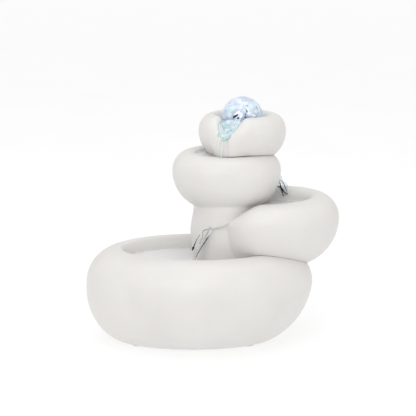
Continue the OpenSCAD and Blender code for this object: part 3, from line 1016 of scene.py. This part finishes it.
@dataclass
class Ceramics:
    """The basin, the cast tower and its top bowl."""

    wall: float = 5.0
    joint_gap: float = 0.4
    voxel: float = 1.0
    melt_passes: int = 12
    shave: float = 0.35
    pool_floor: float = 24.0
    pool_hole: float = 3.0
    inlet_hole: float = 4.6
    inlet_seat: float = 7.6
    inlet_flange: float = 1.8
    lower_half_x: float = 65.0
    leg_top: float = 146.0
    leg_wall: float = 4.0
    leg_room_top: float = 118.0
    # Arch at the left of the leg: its low and high corner in plan, and its top
    arch_low: Pair = (-30.0, -10.0)
    arch_high: Pair = (15.0, 18.0)
    arch_top: float = 62.4
    # Holes for the hose and the leads: middle and radius
    base_hole: Triple = (23.5, 18.0, 10.0)
    shelf_hole: Triple = (20.0, 16.0, 12.0)
    seat_hole: float = 10.0
    top_solid_radius: float = 25.5
    vent_at: float = 28.0
    vent_radius: float = 2.5
    glaze: Finish = MATT_GLAZE
    leg: LegShape = field(default_factory=LegShape)

    def __post_init__(self) -> None:
        """Work out the four bowls from their CAD boxes."""
        at, half, top = middle_and_half("basin")
        self.basin = BowlShape(
            at=at, half=half, foot_z=1.2, belly_z=57, rim_z=top - 1.2, rise=1.2, rise_to=90,
            under=(57, 62), rim_in=27, wall_in=33, wall_z=66, floor_curve=6,
            floor_z=self.pool_floor, stretch=1.2, lean=-6,
        )
        at, half, _ = middle_and_half("lower_bowl")
        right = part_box("lower_bowl")[1].x / MM
        self.lower = BowlShape(
            at=(right - self.lower_half_x, at[1]), half=(self.lower_half_x, half[1]), foot_z=70,
            belly_z=117, rim_z=138, rise=3, rise_to=60, under=(48, 48), rim_in=21, wall_in=29,
            wall_z=130, floor_curve=8, floor_z=125,
            spout=Spout(214, 32, 50, 1.6, -3, 113, 104, 16, 112), tuck=(205, 50, 11),
        )
        at, half, top = middle_and_half("middle_bowl")
        self.middle = BowlShape(
            at=at, half=half, foot_z=125, belly_z=161, rim_z=top - 1.2, rise=1.2, rise_to=90,
            under=(34, 36), rim_in=16, wall_in=23, wall_z=176, floor_curve=4, floor_z=175,
            spout=Spout(18, 22, 30, 1, 3, 161, 153, 20, 160.5),
        )
        at, half, _ = middle_and_half("top_bowl")
        self.top = BowlShape(
            at=at, half=half, foot_z=170, belly_z=198, rim_z=214, rise=0.8, rise_to=90,
            under=(26, 28), rim_in=13, wall_in=19.5, wall_z=200, floor_curve=4, floor_z=180,
            spout=Spout(244, 32, 36, 1.2, 0, 196, 187, 14, 193),
        )

    def build(self) -> None:
        """Build and glaze the three ceramic pieces."""
        glaze = self.glaze.build()
        for piece, body, nodes in (
            (self.build_basin(), "base", ("basin",)),
            (self.build_tower(), "tower", ("tower_foot", "lower_bowl", "middle_bowl")),
            (self.build_top(), "tower", ("top_bowl",)),
        ):
            shade(piece, 38)
            settle(piece, glaze, body, nodes)

    def build_basin(self) -> bpy.types.Object:
        """Build the basin: a hollow-cast ring wall, with the lead's hole and the inlet's seat.

        Returns:
            The basin.
        """
        piece = self.basin.solid("basin_glazed", 224, 18)
        room = replace(
            self.basin.grown(-self.wall), foot_z=-1, under=(65, 62), spout=None
        ).solid("room", 128, 10)
        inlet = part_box("power_inlet")
        middle = (inlet[0] + inlet[1]) / 2 / MM
        face = inlet[1].y / MM - self.inlet_flange
        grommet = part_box("pool_grommet")
        lead = (grommet[0] + grommet[1]) / 2 / MM
        cuts = [
            room,
            cylinder("hole", (lead.x, lead.y, self.pool_floor - 8), self.pool_hole, 12),
            cylinder("hole", (middle.x, face - 20, middle.z), self.inlet_hole, 30, Axis.Y),
            cylinder("seat", (middle.x, face, middle.z), self.inlet_seat, 12, Axis.Y),
        ]
        combine(piece, cuts, Cut.TAKE)
        return piece

    def build_tower(self) -> bpy.types.Object:
        """Build the tower: leg, lower and middle bowl, cast and sponged into one another.

        Returns:
            The tower.
        """
        leg_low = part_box("tower_foot")[0].z / MM
        piece = self.lower.solid("tower_glazed")
        others = [self.leg.solid("leg", leg_low, self.leg_top, 0), self.middle.solid("bowl")]
        combine(piece, others, Cut.JOIN)
        soften(piece, self.voxel * MM, self.melt_passes)
        combine(piece, [self.lower.shaved(self.shave).solid("lip")], Cut.JOIN)
        (x0, y0), (x1, y1) = self.arch_low, self.arch_high
        plan = ((x0, y0), (x1, y0), (x1, y1), (x0, y1))
        arch = lofted(
            "arch", [[(x * MM, y * MM, z * MM) for x, y in plan] for z in (0, self.arch_top)]
        )
        x, y, radius = self.shelf_hole
        bx, by, base_radius = self.base_hole
        cuts = [
            self.lower.grown(-self.wall).solid("room", 128, 8),
            self.middle.grown(-self.wall).solid("room", 128, 8),
            self.leg.solid("room", leg_low - 2, self.leg_room_top, self.leg_wall, 96, 40),
            self.basin.grown(self.joint_gap).solid("seat", 224, 18),
            cylinder("hole", (x, y, 115), radius, 10),
            cylinder("hole", (bx, by, 120), base_radius, 20),
            cylinder("hole", (*self.top.at, 160), self.seat_hole, 20),
            arch,
        ]
        combine(piece, cuts, Cut.TAKE)
        return piece

    def build_top(self) -> bpy.types.Object:
        """Build the top bowl, with a hollow rim and two vents.

        Returns:
            The top bowl.
        """
        x, y = self.top.at
        piece = self.top.solid("top_bowl_glazed", 192, 18)
        inner = replace(self.top.grown(-self.wall), floor_curve=0.5, floor_z=184)
        room = inner.solid("room", 128, 8)
        combine(room, [cylinder("core", (x, y, 160), self.top_solid_radius, 50)], Cut.TAKE)
        cuts = [
            room,
            self.middle.grown(self.joint_gap + 0.2).solid("seat", 160, 12),
            cylinder("vent", (x - self.vent_at, y, 165), self.vent_radius, 22),
            cylinder("vent", (x + self.vent_at, y, 165), self.vent_radius, 22),
            cylinder("hole", (x, y, 165), self.seat_hole, 20),
        ]
        combine(piece, cuts, Cut.TAKE)
        return piece


# ---------------------------------------------------------------- ball and light


class Fleck(Enum):
    """Kinds of flake in the ball."""

    NAVY = "#26365C"
    WHITE = "#FFFFFF"
    MINT = "#B9F3E6"
    SMOKE = "#7F8794"


@dataclass
class CrystalBall:
    """The turning ball: crackled crystal, with foil flakes in its skin and in its depth."""

    rings: int = 72
    flake_thick: float = 0.3
    flake_corners: int = 7
    # Flakes in the skin: kind, place right of and above the middle, length, width, turn
    flakes: tuple[tuple[Fleck, float, float, float, float, float], ...] = (
        (Fleck.NAVY, -6.9, 4.0, 7.5, 2.8, -40),
        (Fleck.NAVY, -4.4, 2.2, 3.4, 1.8, -30),
        (Fleck.MINT, -9.8, 8.8, 8.0, 2.4, -36),
        (Fleck.WHITE, -5.6, 6.6, 9.5, 2.0, -40),
        (Fleck.WHITE, -2.0, 3.4, 4.0, 1.4, -48),
        (Fleck.MINT, -13.0, 12.0, 6.0, 2.2, 55),
        (Fleck.MINT, -10.5, 9.6, 3.5, 1.6, -20),
        (Fleck.SMOKE, 3.6, 8.6, 6.0, 1.8, 70),
        (Fleck.SMOKE, 2.2, 4.6, 6.5, 1.6, 105),
        (Fleck.NAVY, 2.9, 2.4, 3.0, 1.4, 60),
        (Fleck.WHITE, 4.6, 9.8, 4.0, 1.8, 60),
        (Fleck.WHITE, 5.2, 6.8, 3.6, 1.8, 20),
        (Fleck.SMOKE, 6.4, 3.4, 4.0, 1.0, 10),
        (Fleck.WHITE, 10.4, 4.4, 5.0, 1.4, 20),
        (Fleck.SMOKE, 13.4, 10.4, 6.5, 0.9, 110),
    )
    # Flakes in the depth: how many are tried, and how far from the middle and how long they are
    scattered: int = 34
    depths: Pair = (9.0, 16.0)
    lengths: Pair = (2.0, 6.0)
    seed: int = 7

    def build(self) -> None:
        """Build the ball and its flakes."""
        low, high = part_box("crystal_ball")
        self.middle = (low + high) / 2
        self.radius = (high.z - low.z) / 2
        ball = lofted("crystal_ball_skin", self.sphere())
        shade(ball, 80)
        settle(ball, CloudedCrystal().build(), "ball", ("crystal_ball",))
        self.build_flakes()

    def sphere(self) -> list[list[Triple]]:
        """Work out the ball's rings, with the slight waviness of a fire-polished skin.

        Returns:
            The rings from the bottom up, in metres.
        """
        rings = []
        for r in range(1, self.rings):
            lat = math.pi * r / self.rings - math.pi / 2
            ring = []
            for k in range(2 * self.rings):
                lon = math.pi * k / self.rings
                way = Vector(
                    (math.cos(lat) * math.cos(lon), math.cos(lat) * math.sin(lon), math.sin(lat))
                )
                size = self.radius * (0.998 - 0.002 * noise.noise(way * 3))
                ring.append(tuple(self.middle + way * size))
            rings.append(ring)
        return rings

    def build_flakes(self) -> None:
        """Build the flakes of each kind as one piece."""
        rng = random.Random(self.seed)
        placed: dict[Fleck, list[tuple[Vector, Pair, float]]] = {kind: [] for kind in Fleck}
        for kind, right, up, length, width, turn in self.flakes:
            front = math.sqrt((self.radius / MM) ** 2 - right**2 - up**2)
            placed[kind].append((Vector((right, -front, up)), (length, width), math.radians(turn)))
        kinds = [Fleck.WHITE, Fleck.MINT, Fleck.SMOKE, Fleck.NAVY]
        for _ in range(self.scattered):
            way = Vector([rng.gauss(0, 1) for _ in range(3)]).normalized()
            if way.y < -0.5:
                continue
            kind = rng.choices(kinds, (5, 4, 2, 1))[0]
            depth = rng.uniform(*self.depths)
            length = rng.uniform(*self.lengths)
            placed[kind].append((way * depth, (length, length / 2.5), rng.uniform(0, math.pi)))
        for kind, flakes in placed.items():
            points: list[Triple] = []
            faces: list[tuple[int, ...]] = []
            for where, size, turn in flakes:
                self.add_flake(points, faces, where, size, turn, rng)
            piece = from_lists(f"flakes_{kind.name.lower()}", points, faces)
            # Painted light: white and mint flakes glow, standing in for the diodes' light that they
            # catch
            finish = replace(
                NICKEL_PLATE, name=f"foil_{kind.name.lower()}", colour=kind.value, tone=kind.value,
                metallic=0.6, roughness=0.25, glow=kind.value,
                glow_strength=0.15 if kind in (Fleck.WHITE, Fleck.MINT) else 0.0,
            )
            settle(piece, finish.build(), "ball")

    def add_flake(
        self,
        points: list[Triple],
        faces: list[tuple[int, ...]],
        where: Vector,
        size: Pair,
        turn: float,
        rng: random.Random,
    ) -> None:
        """Add one torn flake of foil, which bends where it would leave the ball.

        Args:
            points: Points so far, in metres, which it adds to.
            faces: Faces so far, which it adds to.
            where: Its place from the ball's middle, in millimetres.
            size: Its length and width, in millimetres.
            turn: How far it is turned in its own plane, in radians.
            rng: Source of the torn outline.
        """
        out = where.normalized()
        side = out.cross(Vector((0, 0, 1))).normalized()
        up = side.cross(out)
        long_way = side * math.cos(turn) + up * math.sin(turn)
        wide_way = up * math.cos(turn) - side * math.sin(turn)
        corners = self.flake_corners
        start = len(points)
        layer = corners + 1
        for lift in (self.flake_thick / 2, -self.flake_thick / 2):
            furthest = self.radius / MM + lift - 0.05
            hub = where + out * lift
            hub *= min(1.0, furthest / hub.length)
            points.append(tuple(self.middle + hub * MM))
            for k in range(corners):
                a = 2 * math.pi * k / corners
                ragged = rng.uniform(0.55, 1.0)
                spot = (
                    where
                    + long_way * (size[0] / 2 * math.cos(a) * ragged)
                    + wide_way * (size[1] / 2 * math.sin(a) * ragged)
                    + out * lift
                )
                spot *= min(1.0, furthest / spot.length)
                points.append(tuple(self.middle + spot * MM))
        for k in range(corners):
            a, b = start + 1 + k, start + 1 + (k + 1) % corners
            faces.append((start, a, b))
            faces.append((start + layer, b + layer, a + layer))
            faces.append((b, a, a + layer, b + layer))


# ---------------------------------------------------------------- water


def flow_uv(piece: bpy.types.Object, count: int, across: float, along: float) -> None:
    """Lay a UV map along the flow of a sheet that was lofted from rings, in metres.

    Args:
        piece: The sheet.
        count: Points in each of its rings.
        across: Distance between two points of a ring.
        along: Distance between two rings.
    """
    layer = piece.data.uv_layers.new(name="flow")
    for loop in piece.data.loops:
        ring, k = divmod(loop.vertex_index, count)
        fold = min(k, count - k)
        layer.data[loop.index].uv = (fold * across, ring * along)


@dataclass(frozen=True)
class Fall:
    """A stream that leaves a lip and falls in a curve. Millimetres and degrees.

    A dive of 0 leaves the lip level, and a dive of 1 falls straight from it.
    """

    name: str
    start: Triple
    angle: float
    run: float
    drop: float
    width: float
    end_width: float
    thick: float
    twist: float
    ragged: float
    seed: int
    dive: float = 0.0
    rows: int = 56
    sides: int = 28

    def build(self, finish: bpy.types.Material, body: str) -> None:
        """Build the stream, a folded sheet that narrows and twists as it falls.

        Args:
            finish: Its material.
            body: CAD body that it rides on.
        """
        way = Vector((math.cos(math.radians(self.angle)), math.sin(math.radians(self.angle)), 0))
        rings = []
        for r in range(self.rows + 1):
            t = r / self.rows
            centre = Vector(self.start) + way * (self.run * t)
            centre.z -= self.drop * mix(t * t, t, self.dive)
            ahead = way * self.run + Vector((0, 0, -self.drop * mix(2 * t, 1, self.dive)))
            ahead.normalize()
            level = Vector((-way.y, way.x, 0))
            turned = Matrix.Rotation(math.radians(self.twist) * t, 3, ahead) @ level
            over = ahead.cross(turned).normalized()
            wave = noise.noise(Vector((self.seed, t * 4, 0)))
            half = mix(self.width, self.end_width, t) / 2 * (1 + self.ragged * wave)
            ring = []
            for k in range(self.sides):
                a = 2 * math.pi * k / self.sides
                fold = math.sin(3 * a + 5 * t + self.seed) * 0.35
                grain = noise.noise(Vector((math.cos(a) * 1.6, t * 7, self.seed)))
                bulge = self.thick / 2 * (1 + fold + 0.6 * grain)
                edge = half * (1 + self.ragged * 0.5 * grain)
                point = centre + turned * (edge * math.cos(a)) + over * (bulge * math.sin(a))
                ring.append(tuple(point * MM))
            rings.append(ring)
        piece = lofted(self.name, rings)
        flow_uv(piece, self.sides, self.width / self.sides * 2 * MM, self.length() / self.rows * MM)
        shade(piece, 70)
        settle(piece, finish, body)

    def length(self) -> float:
        """Return about how long the stream is."""
        return math.hypot(self.run, self.drop)


@dataclass(frozen=True)
class Strand:
    """A thin thread of falling water, which shows dark through a painted reflection. Millimetres.
    """

    # Its knots: place and radius
    knots: tuple[tuple[Triple, float], ...]
    steps: int = 8
    sides: int = 12

    def add_to(self, points: list[Triple], faces: list[tuple[int, ...]]) -> None:
        """Add the strand to a piece that is made of several.

        Args:
            points: Points so far, in metres, which it adds to.
            faces: Faces so far, which it adds to.
        """
        rings: list[tuple[Vector, float]] = []
        last = len(self.knots) - 1
        for k in range(last):
            for i in range(self.steps):
                t = i / self.steps
                spots = [Vector(self.knots[min(max(k + j, 0), last)][0]) for j in (-1, 0, 1, 2)]
                curve = (
                    spots[1] * 2
                    + (spots[2] - spots[0]) * t
                    + (spots[0] * 2 - spots[1] * 5 + spots[2] * 4 - spots[3]) * t**2
                    + (spots[1] * 3 - spots[0] - spots[2] * 3 + spots[3]) * t**3
                ) / 2
                radius = mix(self.knots[k][1], self.knots[k + 1][1], smooth(t))
                rings.append((curve, radius))
        rings.append((Vector(self.knots[last][0]), self.knots[last][1]))
        start = len(points)
        for i, (centre, radius) in enumerate(rings):
            ahead = rings[min(i + 1, len(rings) - 1)][0] - rings[max(i - 1, 0)][0]
            side = ahead.cross(Vector((0, 1, 0))).normalized()
            over = ahead.cross(side).normalized()
            ragged = 1 + 0.35 * noise.noise(centre * 0.6)
            for k in range(self.sides):
                a = 2 * math.pi * k / self.sides
                spot = centre + (side * math.cos(a) + over * math.sin(a)) * radius * ragged
                points.append(tuple(spot * MM))
        for i in range(len(rings) - 1):
            for k in range(self.sides):
                b = (k + 1) % self.sides
                low, high = start + i * self.sides, start + (i + 1) * self.sides
                faces.append((low + k, low + b, high + b, high + k))
        faces.append(tuple(range(start + self.sides - 1, start - 1, -1)))
        end = start + (len(rings) - 1) * self.sides
        faces.append(tuple(range(end, end + self.sides)))


# Threads at the sides of the stream that falls in the pool: the left one ends in a fat drop
POOL_STRANDS = (
    Strand((
        ((-2.6, -19.5, 108.6), 0.35), ((-5.8, -20.4, 103.4), 0.65), ((-9.3, -21.0, 97.6), 0.5),
        ((-12.6, -21.4, 92.0), 0.4), ((-15.6, -21.8, 86.4), 0.3),
    )),
    Strand((
        ((-12.0, -20.8, 107.4), 0.15), ((-13.6, -20.9, 105.0), 0.2), ((-15.4, -21.2, 102.0), 0.3),
        ((-17.4, -21.6, 97.2), 0.6), ((-18.4, -21.8, 94.6), 1.15), ((-19.0, -22.0, 92.4), 0.3),
    )),
    Strand((
        ((-4.6, -19.0, 112.0), 0.15), ((-7.8, -19.8, 111.6), 0.25), ((-9.6, -20.4, 109.6), 0.2),
        ((-9.4, -20.8, 106.0), 0.2), ((-12.4, -21.4, 99.0), 0.15),
    )),
)
# Threads where the water off the middle bowl breaks up
SPLASH_STRANDS = (
    Strand((
        ((59.6, 27.5, 142.6), 0.3), ((62.6, 27.5, 142.9), 0.55), ((65.4, 27.8, 141.6), 0.95),
        ((68.2, 28.0, 138.0), 0.6), ((70.4, 28.0, 136.2), 0.5), ((72.2, 28.0, 135.4), 0.3),
    )),
    Strand((
        ((64.0, 28.0, 149.0), 0.2), ((64.6, 27.8, 145.4), 0.4), ((65.2, 27.6, 142.0), 0.9),
        ((66.8, 27.6, 137.4), 0.55), ((68.0, 27.6, 133.4), 0.2),
    )),
    Strand((
        ((63.4, 28.0, 150.6), 0.25), ((67.0, 28.4, 147.0), 0.3), ((69.2, 28.4, 143.0), 0.35),
        ((71.0, 28.2, 138.4), 0.25),
    )),
)


@dataclass
class Waterworks:
    """All the water: what stands in the bowls, what runs over the lips and what falls."""

    shapes: Ceramics
    pool_level: float = 80.0
    lower_level: float = 128.5
    middle_level: float = 177.0
    ring_level: float = 208.0
    front_level: float = 210.3
    ripple: float = 3.0
    film: float = 0.8

    def build(self) -> None:
        """Build every piece of water."""
        # Painted reflection: a near-white colour on the folds of still water
        still = WaterSkin(
            "still_water", fold_mm=14, fold_depth_mm=0.5, fold_stretch=1.0, painted_reflection="#F2F3F3",
            milk="#B4B4B4",
        ).build()
        # Painted light: the cyan folds and the glow of the water round the ball stand in for the
        # diodes' blue light
        lit = WaterSkin(
            "water_with_painted_diode_glow", fold_mm=3.0, fold_depth_mm=1.2, tint="#EEF9FB", painted_reflection="#A5CBD6",
            painted_reflection_share=0.45, fold_stretch=1.6, glow="#D6F0F4", glow_strength=0.07,
            milk="#8C8C8C",
        ).build()
        # Painted light: the pale cyan folds and the glow of the film over the top lip stand in for
        # the diodes' light
        lip = WaterSkin(
            "lip_water_with_painted_glow", fold_mm=3.0, fold_depth_mm=0.6, tint="#F3FBFB", painted_reflection="#C4E4E8",
            painted_reflection_share=0.3, fold_stretch=3.0, glow="#E6F6F8", glow_strength=0.08, milk="#343434",
        ).build()
        # Painted reflection: dark folds in the falling stream
        stream = WaterSkin(
            "falling_water", fold_mm=1.5, fold_depth_mm=0.5, tint="#F1F4F6", painted_reflection="#2F353A",
            painted_reflection_share=0.35, fold_stretch=7.0,
        ).build()
        # Painted reflection: the threads are almost all dark, which stands in for what the clear
        # water refracts
        dark = WaterSkin(
            "strands_painted_dark", fold_mm=1.2, fold_depth_mm=0.3, tint="#DFE2E3", painted_reflection="#26292B",
            painted_reflection_share=1.6, fold_stretch=5.0, milk="#6A6A6A",
        ).build()
        # Painted reflection: grey folds on the thin films and the drips
        thin = WaterSkin(
            "thin_film", fold_mm=3, fold_depth_mm=0.3, tint="#FBFCFD", painted_reflection="#AEB6BC",
            painted_reflection_share=0.15, fold_stretch=5.0,
        ).build()
        made = self.shapes
        for name, shape, level, body, finish in (
            ("pool_water", made.basin, self.pool_level, "base", still),
            ("lower_bowl_water", made.lower, self.lower_level, "tower", still),
            ("middle_bowl_water", made.middle, self.middle_level, "tower", still),
        ):
            piece = shape.water(name, level)
            flow_uv(piece, 128, 1.2 * MM, 8 * MM)
            shade(piece, 60)
            settle(piece, finish, body)
        self.build_overflow(made.top, lit)
        self.build_film("top_front_film", made.top, 10, lip, (18, 28))
        self.build_film("middle_lip_film", made.middle, 12, thin, (17, 46))
        self.build_film("lower_lip_film", made.lower, 10, thin, (25, 46))
        for fall in self.falls():
            fall.build(stream if "middle" in fall.name else thin, "tower")
        for name, strands in (("pool_strands", POOL_STRANDS), ("splash_strands", SPLASH_STRANDS)):
            points: list[Triple] = []
            faces: list[tuple[int, ...]] = []
            for strand in strands:
                strand.add_to(points, faces)
            piece = from_lists(name, points, faces)
            flow_uv(piece, strands[0].sides, 0.3 * MM, 0.8 * MM)
            shade(piece, 70)
            settle(piece, dark, "tower")

    def build_overflow(self, shape: BowlShape, finish: bpy.types.Material) -> None:
        """Build the water that wells up round the ball and slopes down to the lip.

        Args:
            shape: The top bowl.
            finish: Material of the water.
        """
        low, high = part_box("crystal_ball")
        middle = (low + high) / 2 / MM
        radius = (high.z - low.z) / 2 / MM
        turns, across, steps = 192, 20, 12
        rings: list[list[Triple]] = []
        for k in range(turns):
            angle = 360 * k / turns
            a = math.radians(angle)
            share = smooth(shape.spout.share(angle) * 1.4)
            inside = shape.section(angle, steps)[2 * steps :]
            crest = inside[0]
            wall = min(inside[: steps + 1], key=lambda spot: abs(spot[1] - self.ring_level))
            inset = mix(wall[0], crest[0] + 0.5, share)
            outer_z = min(mix(self.ring_level, crest[1] + 0.9, share), crest[1] + 0.9)
            inner_z = mix(self.ring_level + 0.6, self.front_level, share)
            inner = math.sqrt(radius**2 - (inner_z - middle.z) ** 2) - 0.6
            upper, under = [], []
            for i in range(across + 1):
                t = i / across
                reach = mix(inner, shape.half[0] - inset, t), mix(inner, shape.half[1] - inset, t)
                height = mix(inner_z, outer_z, smooth(t) * 0.5 + t * 0.5)
                spot = Vector((reach[0] * math.cos(a), reach[1] * math.sin(a), 0))
                calm = math.sin(math.pi * t)
                height += self.ripple * calm * noise.noise(spot * 0.32)
                upper.append(((spot.x + middle.x) * MM, (spot.y + middle.y) * MM, height * MM))
                deep = (height - 0.4 - 1.2 * calm) * MM
                under.append(((spot.x + middle.x) * MM, (spot.y + middle.y) * MM, deep))
            rings.append(upper + under[::-1])
        rings.append(rings[0])
        piece = lofted("top_bowl_water", rings, caps=False)
        flow_uv(piece, 2 * across + 2, 1.0 * MM, 0.8 * MM)
        shade(piece, 60)
        settle(piece, finish, "tower")

    def build_film(
        self,
        name: str,
        shape: BowlShape,
        spread: float,
        finish: bpy.types.Material,
        rows_used: tuple[int, int],
    ) -> None:
        """Build the film of water that runs out over a bowl's lip.

        Args:
            name: Name of the piece.
            shape: The bowl.
            spread: How far it reaches to either side of the lip's middle, in degrees.
            finish: Its material.
            rows_used: First and last row of the section that it covers, of 48.
        """
        steps, turns = 12, 40
        lip = shape.spout
        rings: list[list[Triple]] = []
        upper: list[list[Vector]] = []
        for k in range(turns + 1):
            angle = lip.angle + mix(-spread, spread, k / turns)
            rows = shape.section(angle, steps)[rows_used[0] : rows_used[1]]
            a = math.radians(angle)
            line = []
            for i, (inset, height) in enumerate(rows):
                before, after = rows[max(i - 1, 0)], rows[min(i + 1, len(rows) - 1)]
                run, climb = after[0] - before[0], after[1] - before[1]
                size = math.hypot(run, climb) or 1.0
                edge = math.sin(math.pi * k / turns) ** 0.5
                edge *= min(1.0, i / 4, (len(rows) - 1 - i) / 3)
                lift = self.film * edge * (1 + 0.5 * noise.noise(Vector((k * 0.25, i * 0.2, 3))))
                inset, height = inset - climb / size * lift, height + run / size * lift
                x = shape.at[0] + (shape.half[0] - inset) * math.cos(a)
                y = shape.at[1] + (shape.half[1] - inset) * math.sin(a)
                line.append(Vector((x, y, height)) * MM)
            upper.append(line)
        count = len(upper[0])
        for line in upper:
            under = [p - Vector((0, 0, 0.5 * MM)) for p in reversed(line)]
            rings.append([tuple(p) for p in line + under])
        piece = lofted(name, rings)
        flow_uv(piece, 2 * count, 1.0 * MM, 1.2 * MM)
        shade(piece, 60)
        settle(piece, finish, "tower")

    def falls(self) -> list[Fall]:
        """Lay out the streams.

        Returns:
            The streams, each from the lip that it leaves.
        """
        made = self.shapes
        top = self.lip(made.top)
        lower = self.lip(made.lower)
        return [
            Fall(
                "drip_from_top", start=(top[0] - 1, top[1], top[2]), angle=240, run=4, drop=20,
                width=4, end_width=2.4, thick=1.3, twist=20, ragged=0.5, seed=3,
            ),
            Fall(
                "drip_beside_it", start=(top[0] + 4, top[1] - 1, top[2] - 1), angle=250, run=3,
                drop=19, width=1.8, end_width=1.2, thick=1.0, twist=0, ragged=0.4, seed=5,
            ),
            Fall(
                "fall_from_middle", start=(62.4, 31.0, 153.0), angle=-20, run=8, drop=19,
                width=7, end_width=8, thick=1.4, twist=100, ragged=0.5, seed=11, dive=0.6,
            ),
            Fall(
                "fall_from_lower", start=lower, angle=190, run=17, drop=33,
                width=14, end_width=8, thick=2.2, twist=35, ragged=0.45, seed=21, dive=0.75,
            ),
        ]

    @staticmethod
    def lip(shape: BowlShape) -> Triple:
        """Find the middle of a bowl's lip.

        Args:
            shape: The bowl.

        Returns:
            The place just above the lip, in millimetres.
        """
        lip = shape.spout
        a = math.radians(lip.angle)
        x = shape.at[0] + (shape.half[0] - lip.lip_in) * math.cos(a)
        y = shape.at[1] + (shape.half[1] - lip.lip_in) * math.sin(a)
        return x, y, lip.lip_z + 0.3


# ---------------------------------------------------------------- fittings


@dataclass
class Fittings:
    """The light under the ball, the pump and all that is plugged or pressed into the bowls."""

    leds: int = 6
    cups: int = 4
    feet: int = 4

    def build(self) -> None:
        """Dress every CAD node that keeps its own shape."""
        dress(["ball_seat"], CLEAR_ACRYLIC.build())
        dress(["light_ring"], OPAL_POLYCARBONATE.build())
        dress([f"led_{i + 1}" for i in range(self.leds)], LIT_DIODE.build())
        dress(["jet_nozzle", "impeller"], POLYPROPYLENE.build())
        dress(["nozzle_seal", "pool_grommet"], SILICONE.build())
        dress(["riser_hose"], PVC_HOSE.build())
        dress(["light_lead"], WHITE_SHEATH.build())
        dress(["pump_lead"], BLACK_SHEATH.build())
        moulded = ["light_plug", "light_socket", "pump_housing", "volute", "strainer_cover"]
        dress(moulded + ["power_inlet"], SPARKED_ABS.build())
        dress(["flow_dial"], GREY_ABS.build())
        dress(["stator_core"], SHEET_STEEL.build())
        dress(["coil"], COPPER_WIRE.build())
        dress(["o_ring", "shaft_bushing"], NITRILE.build())
        dress(["pump_shaft"], ZIRCONIA.build())
        dress(["rotor_magnet"], FERRITE.build())
        dress(["filter_sponge"], OPEN_FOAM.build())
        dress([f"suction_cup_{i + 1}" for i in range(self.cups)], CUP_SILICONE.build())
        dress([f"foot_{i + 1}" for i in range(self.feet)], EVA_PAD.build())
        dress(["inlet_nut"], NICKEL_PLATE.build())


# ---------------------------------------------------------------- studio


# Opal acrylic of a back-lit shooting table: it glows evenly, so shadows on it stay faint.
OPAL_TABLE = Finish(
    name="opal_table", colour="#9A9A9A", tone="#969696", tone_mm=200, grain_mm=1.5,
    grain_depth_mm=0.01, roughness=0.8, glow="#FFFFFF", glow_strength=0.68,
)


@dataclass(frozen=True)
class Softbox:
    """A square softbox: where it hangs, what it points at and its side in metres, and its watts."""

    name: str
    place: Triple
    aim: Triple
    side: float
    watts: float

    def hang(self) -> None:
        """Put the softbox in the scene."""
        light = bpy.data.lights.new(self.name, "AREA")
        light.size = self.side
        light.energy = self.watts
        box = bpy.data.objects.new(self.name, light)
        box.location = self.place
        down = Vector(self.aim) - Vector(self.place)
        box.rotation_euler = down.to_track_quat("-Z", "Y").to_euler()
        bpy.context.scene.collection.objects.link(box)


@dataclass
class Studio:
    """A white room: a glowing table, even light, and large softboxes above and in front."""

    softboxes: tuple[Softbox, ...] = (
        Softbox("top_box", place=(-0.1, -0.1, 1.3), aim=(0, 0, 0.12), side=1.1, watts=4.2),
        Softbox("front_box", place=(-0.5, -1.5, 1.1), aim=(0, 0, 0.10), side=1.2, watts=8.2),
        Softbox("right_box", place=(1.1, -1.0, 0.5), aim=(0.05, 0, 0.12), side=0.9, watts=1.6),
    )
    target: Triple = (0.0, 0.0, 0.115)
    distance: float = 0.998
    elevation: float = 13.6
    lens: float = 91.7
    shift: Pair = (-0.0118, 0.0325)
    room: float = 0.75
    table_half: float = 12.0
    diode_watts: float = 0.0025

    def build(self) -> None:
        """Build the floor, the lights and the camera."""
        self.build_floor()
        self.build_world()
        for softbox in self.softboxes:
            softbox.hang()
        self.build_glow()
        self.build_camera()
        bpy.context.scene.view_settings.view_transform = "Standard"

    def build_floor(self) -> None:
        """Build the pale table top that the fountain stands on."""
        half = self.table_half
        floor = from_lists(
            "floor", [(-half, -half, 0), (half, -half, 0), (half, half, 0), (-half, half, 0)],
            [(0, 1, 2, 3)],
        )
        floor.data.materials.append(OPAL_TABLE.build())

    def build_world(self) -> None:
        """Light the room evenly from all sides."""
        world = bpy.data.worlds.new("white_room")
        bpy.context.scene.world = world
        world.use_nodes = True
        sky = world.node_tree.nodes["Background"]
        sky.inputs["Color"].default_value = linear("#FFFFFF")
        sky.inputs["Strength"].default_value = self.room

    def build_glow(self) -> None:
        """Add the diodes' own light, under the ball."""
        low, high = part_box("light_ring")
        light = bpy.data.lights.new("diode_glow", "POINT")
        light.energy = self.diode_watts
        light.color = linear("#9AD6FF")[:3]
        light.shadow_soft_size = 0.008
        glow = bpy.data.objects.new("diode_glow", light)
        glow.location = ((low.x + high.x) / 2, (low.y + high.y) / 2, high.z + 0.003)
        bpy.context.scene.collection.objects.link(glow)

    def build_camera(self) -> None:
        """Set up the camera."""
        data = bpy.data.cameras.new("camera")
        data.lens = self.lens
        data.shift_x, data.shift_y = self.shift
        camera = bpy.data.objects.new("camera", data)
        tilt = math.radians(self.elevation)
        away = Vector((0, -math.cos(tilt), math.sin(tilt))) * self.distance
        camera.location = Vector(self.target) + away
        camera.rotation_euler = (-away).to_track_quat("-Z", "Y").to_euler()
        bpy.context.scene.collection.objects.link(camera)
        bpy.context.scene.camera = camera


def main() -> None:
    """Build the fountain and its studio."""
    logging.basicConfig(level=logging.INFO, format="%(message)s")
    ceramics = Ceramics()
    Studio().build()
    ceramics.build()
    CrystalBall().build()
    Waterworks(ceramics).build()
    Fittings().build()


if __name__ == "__main__":
    main()
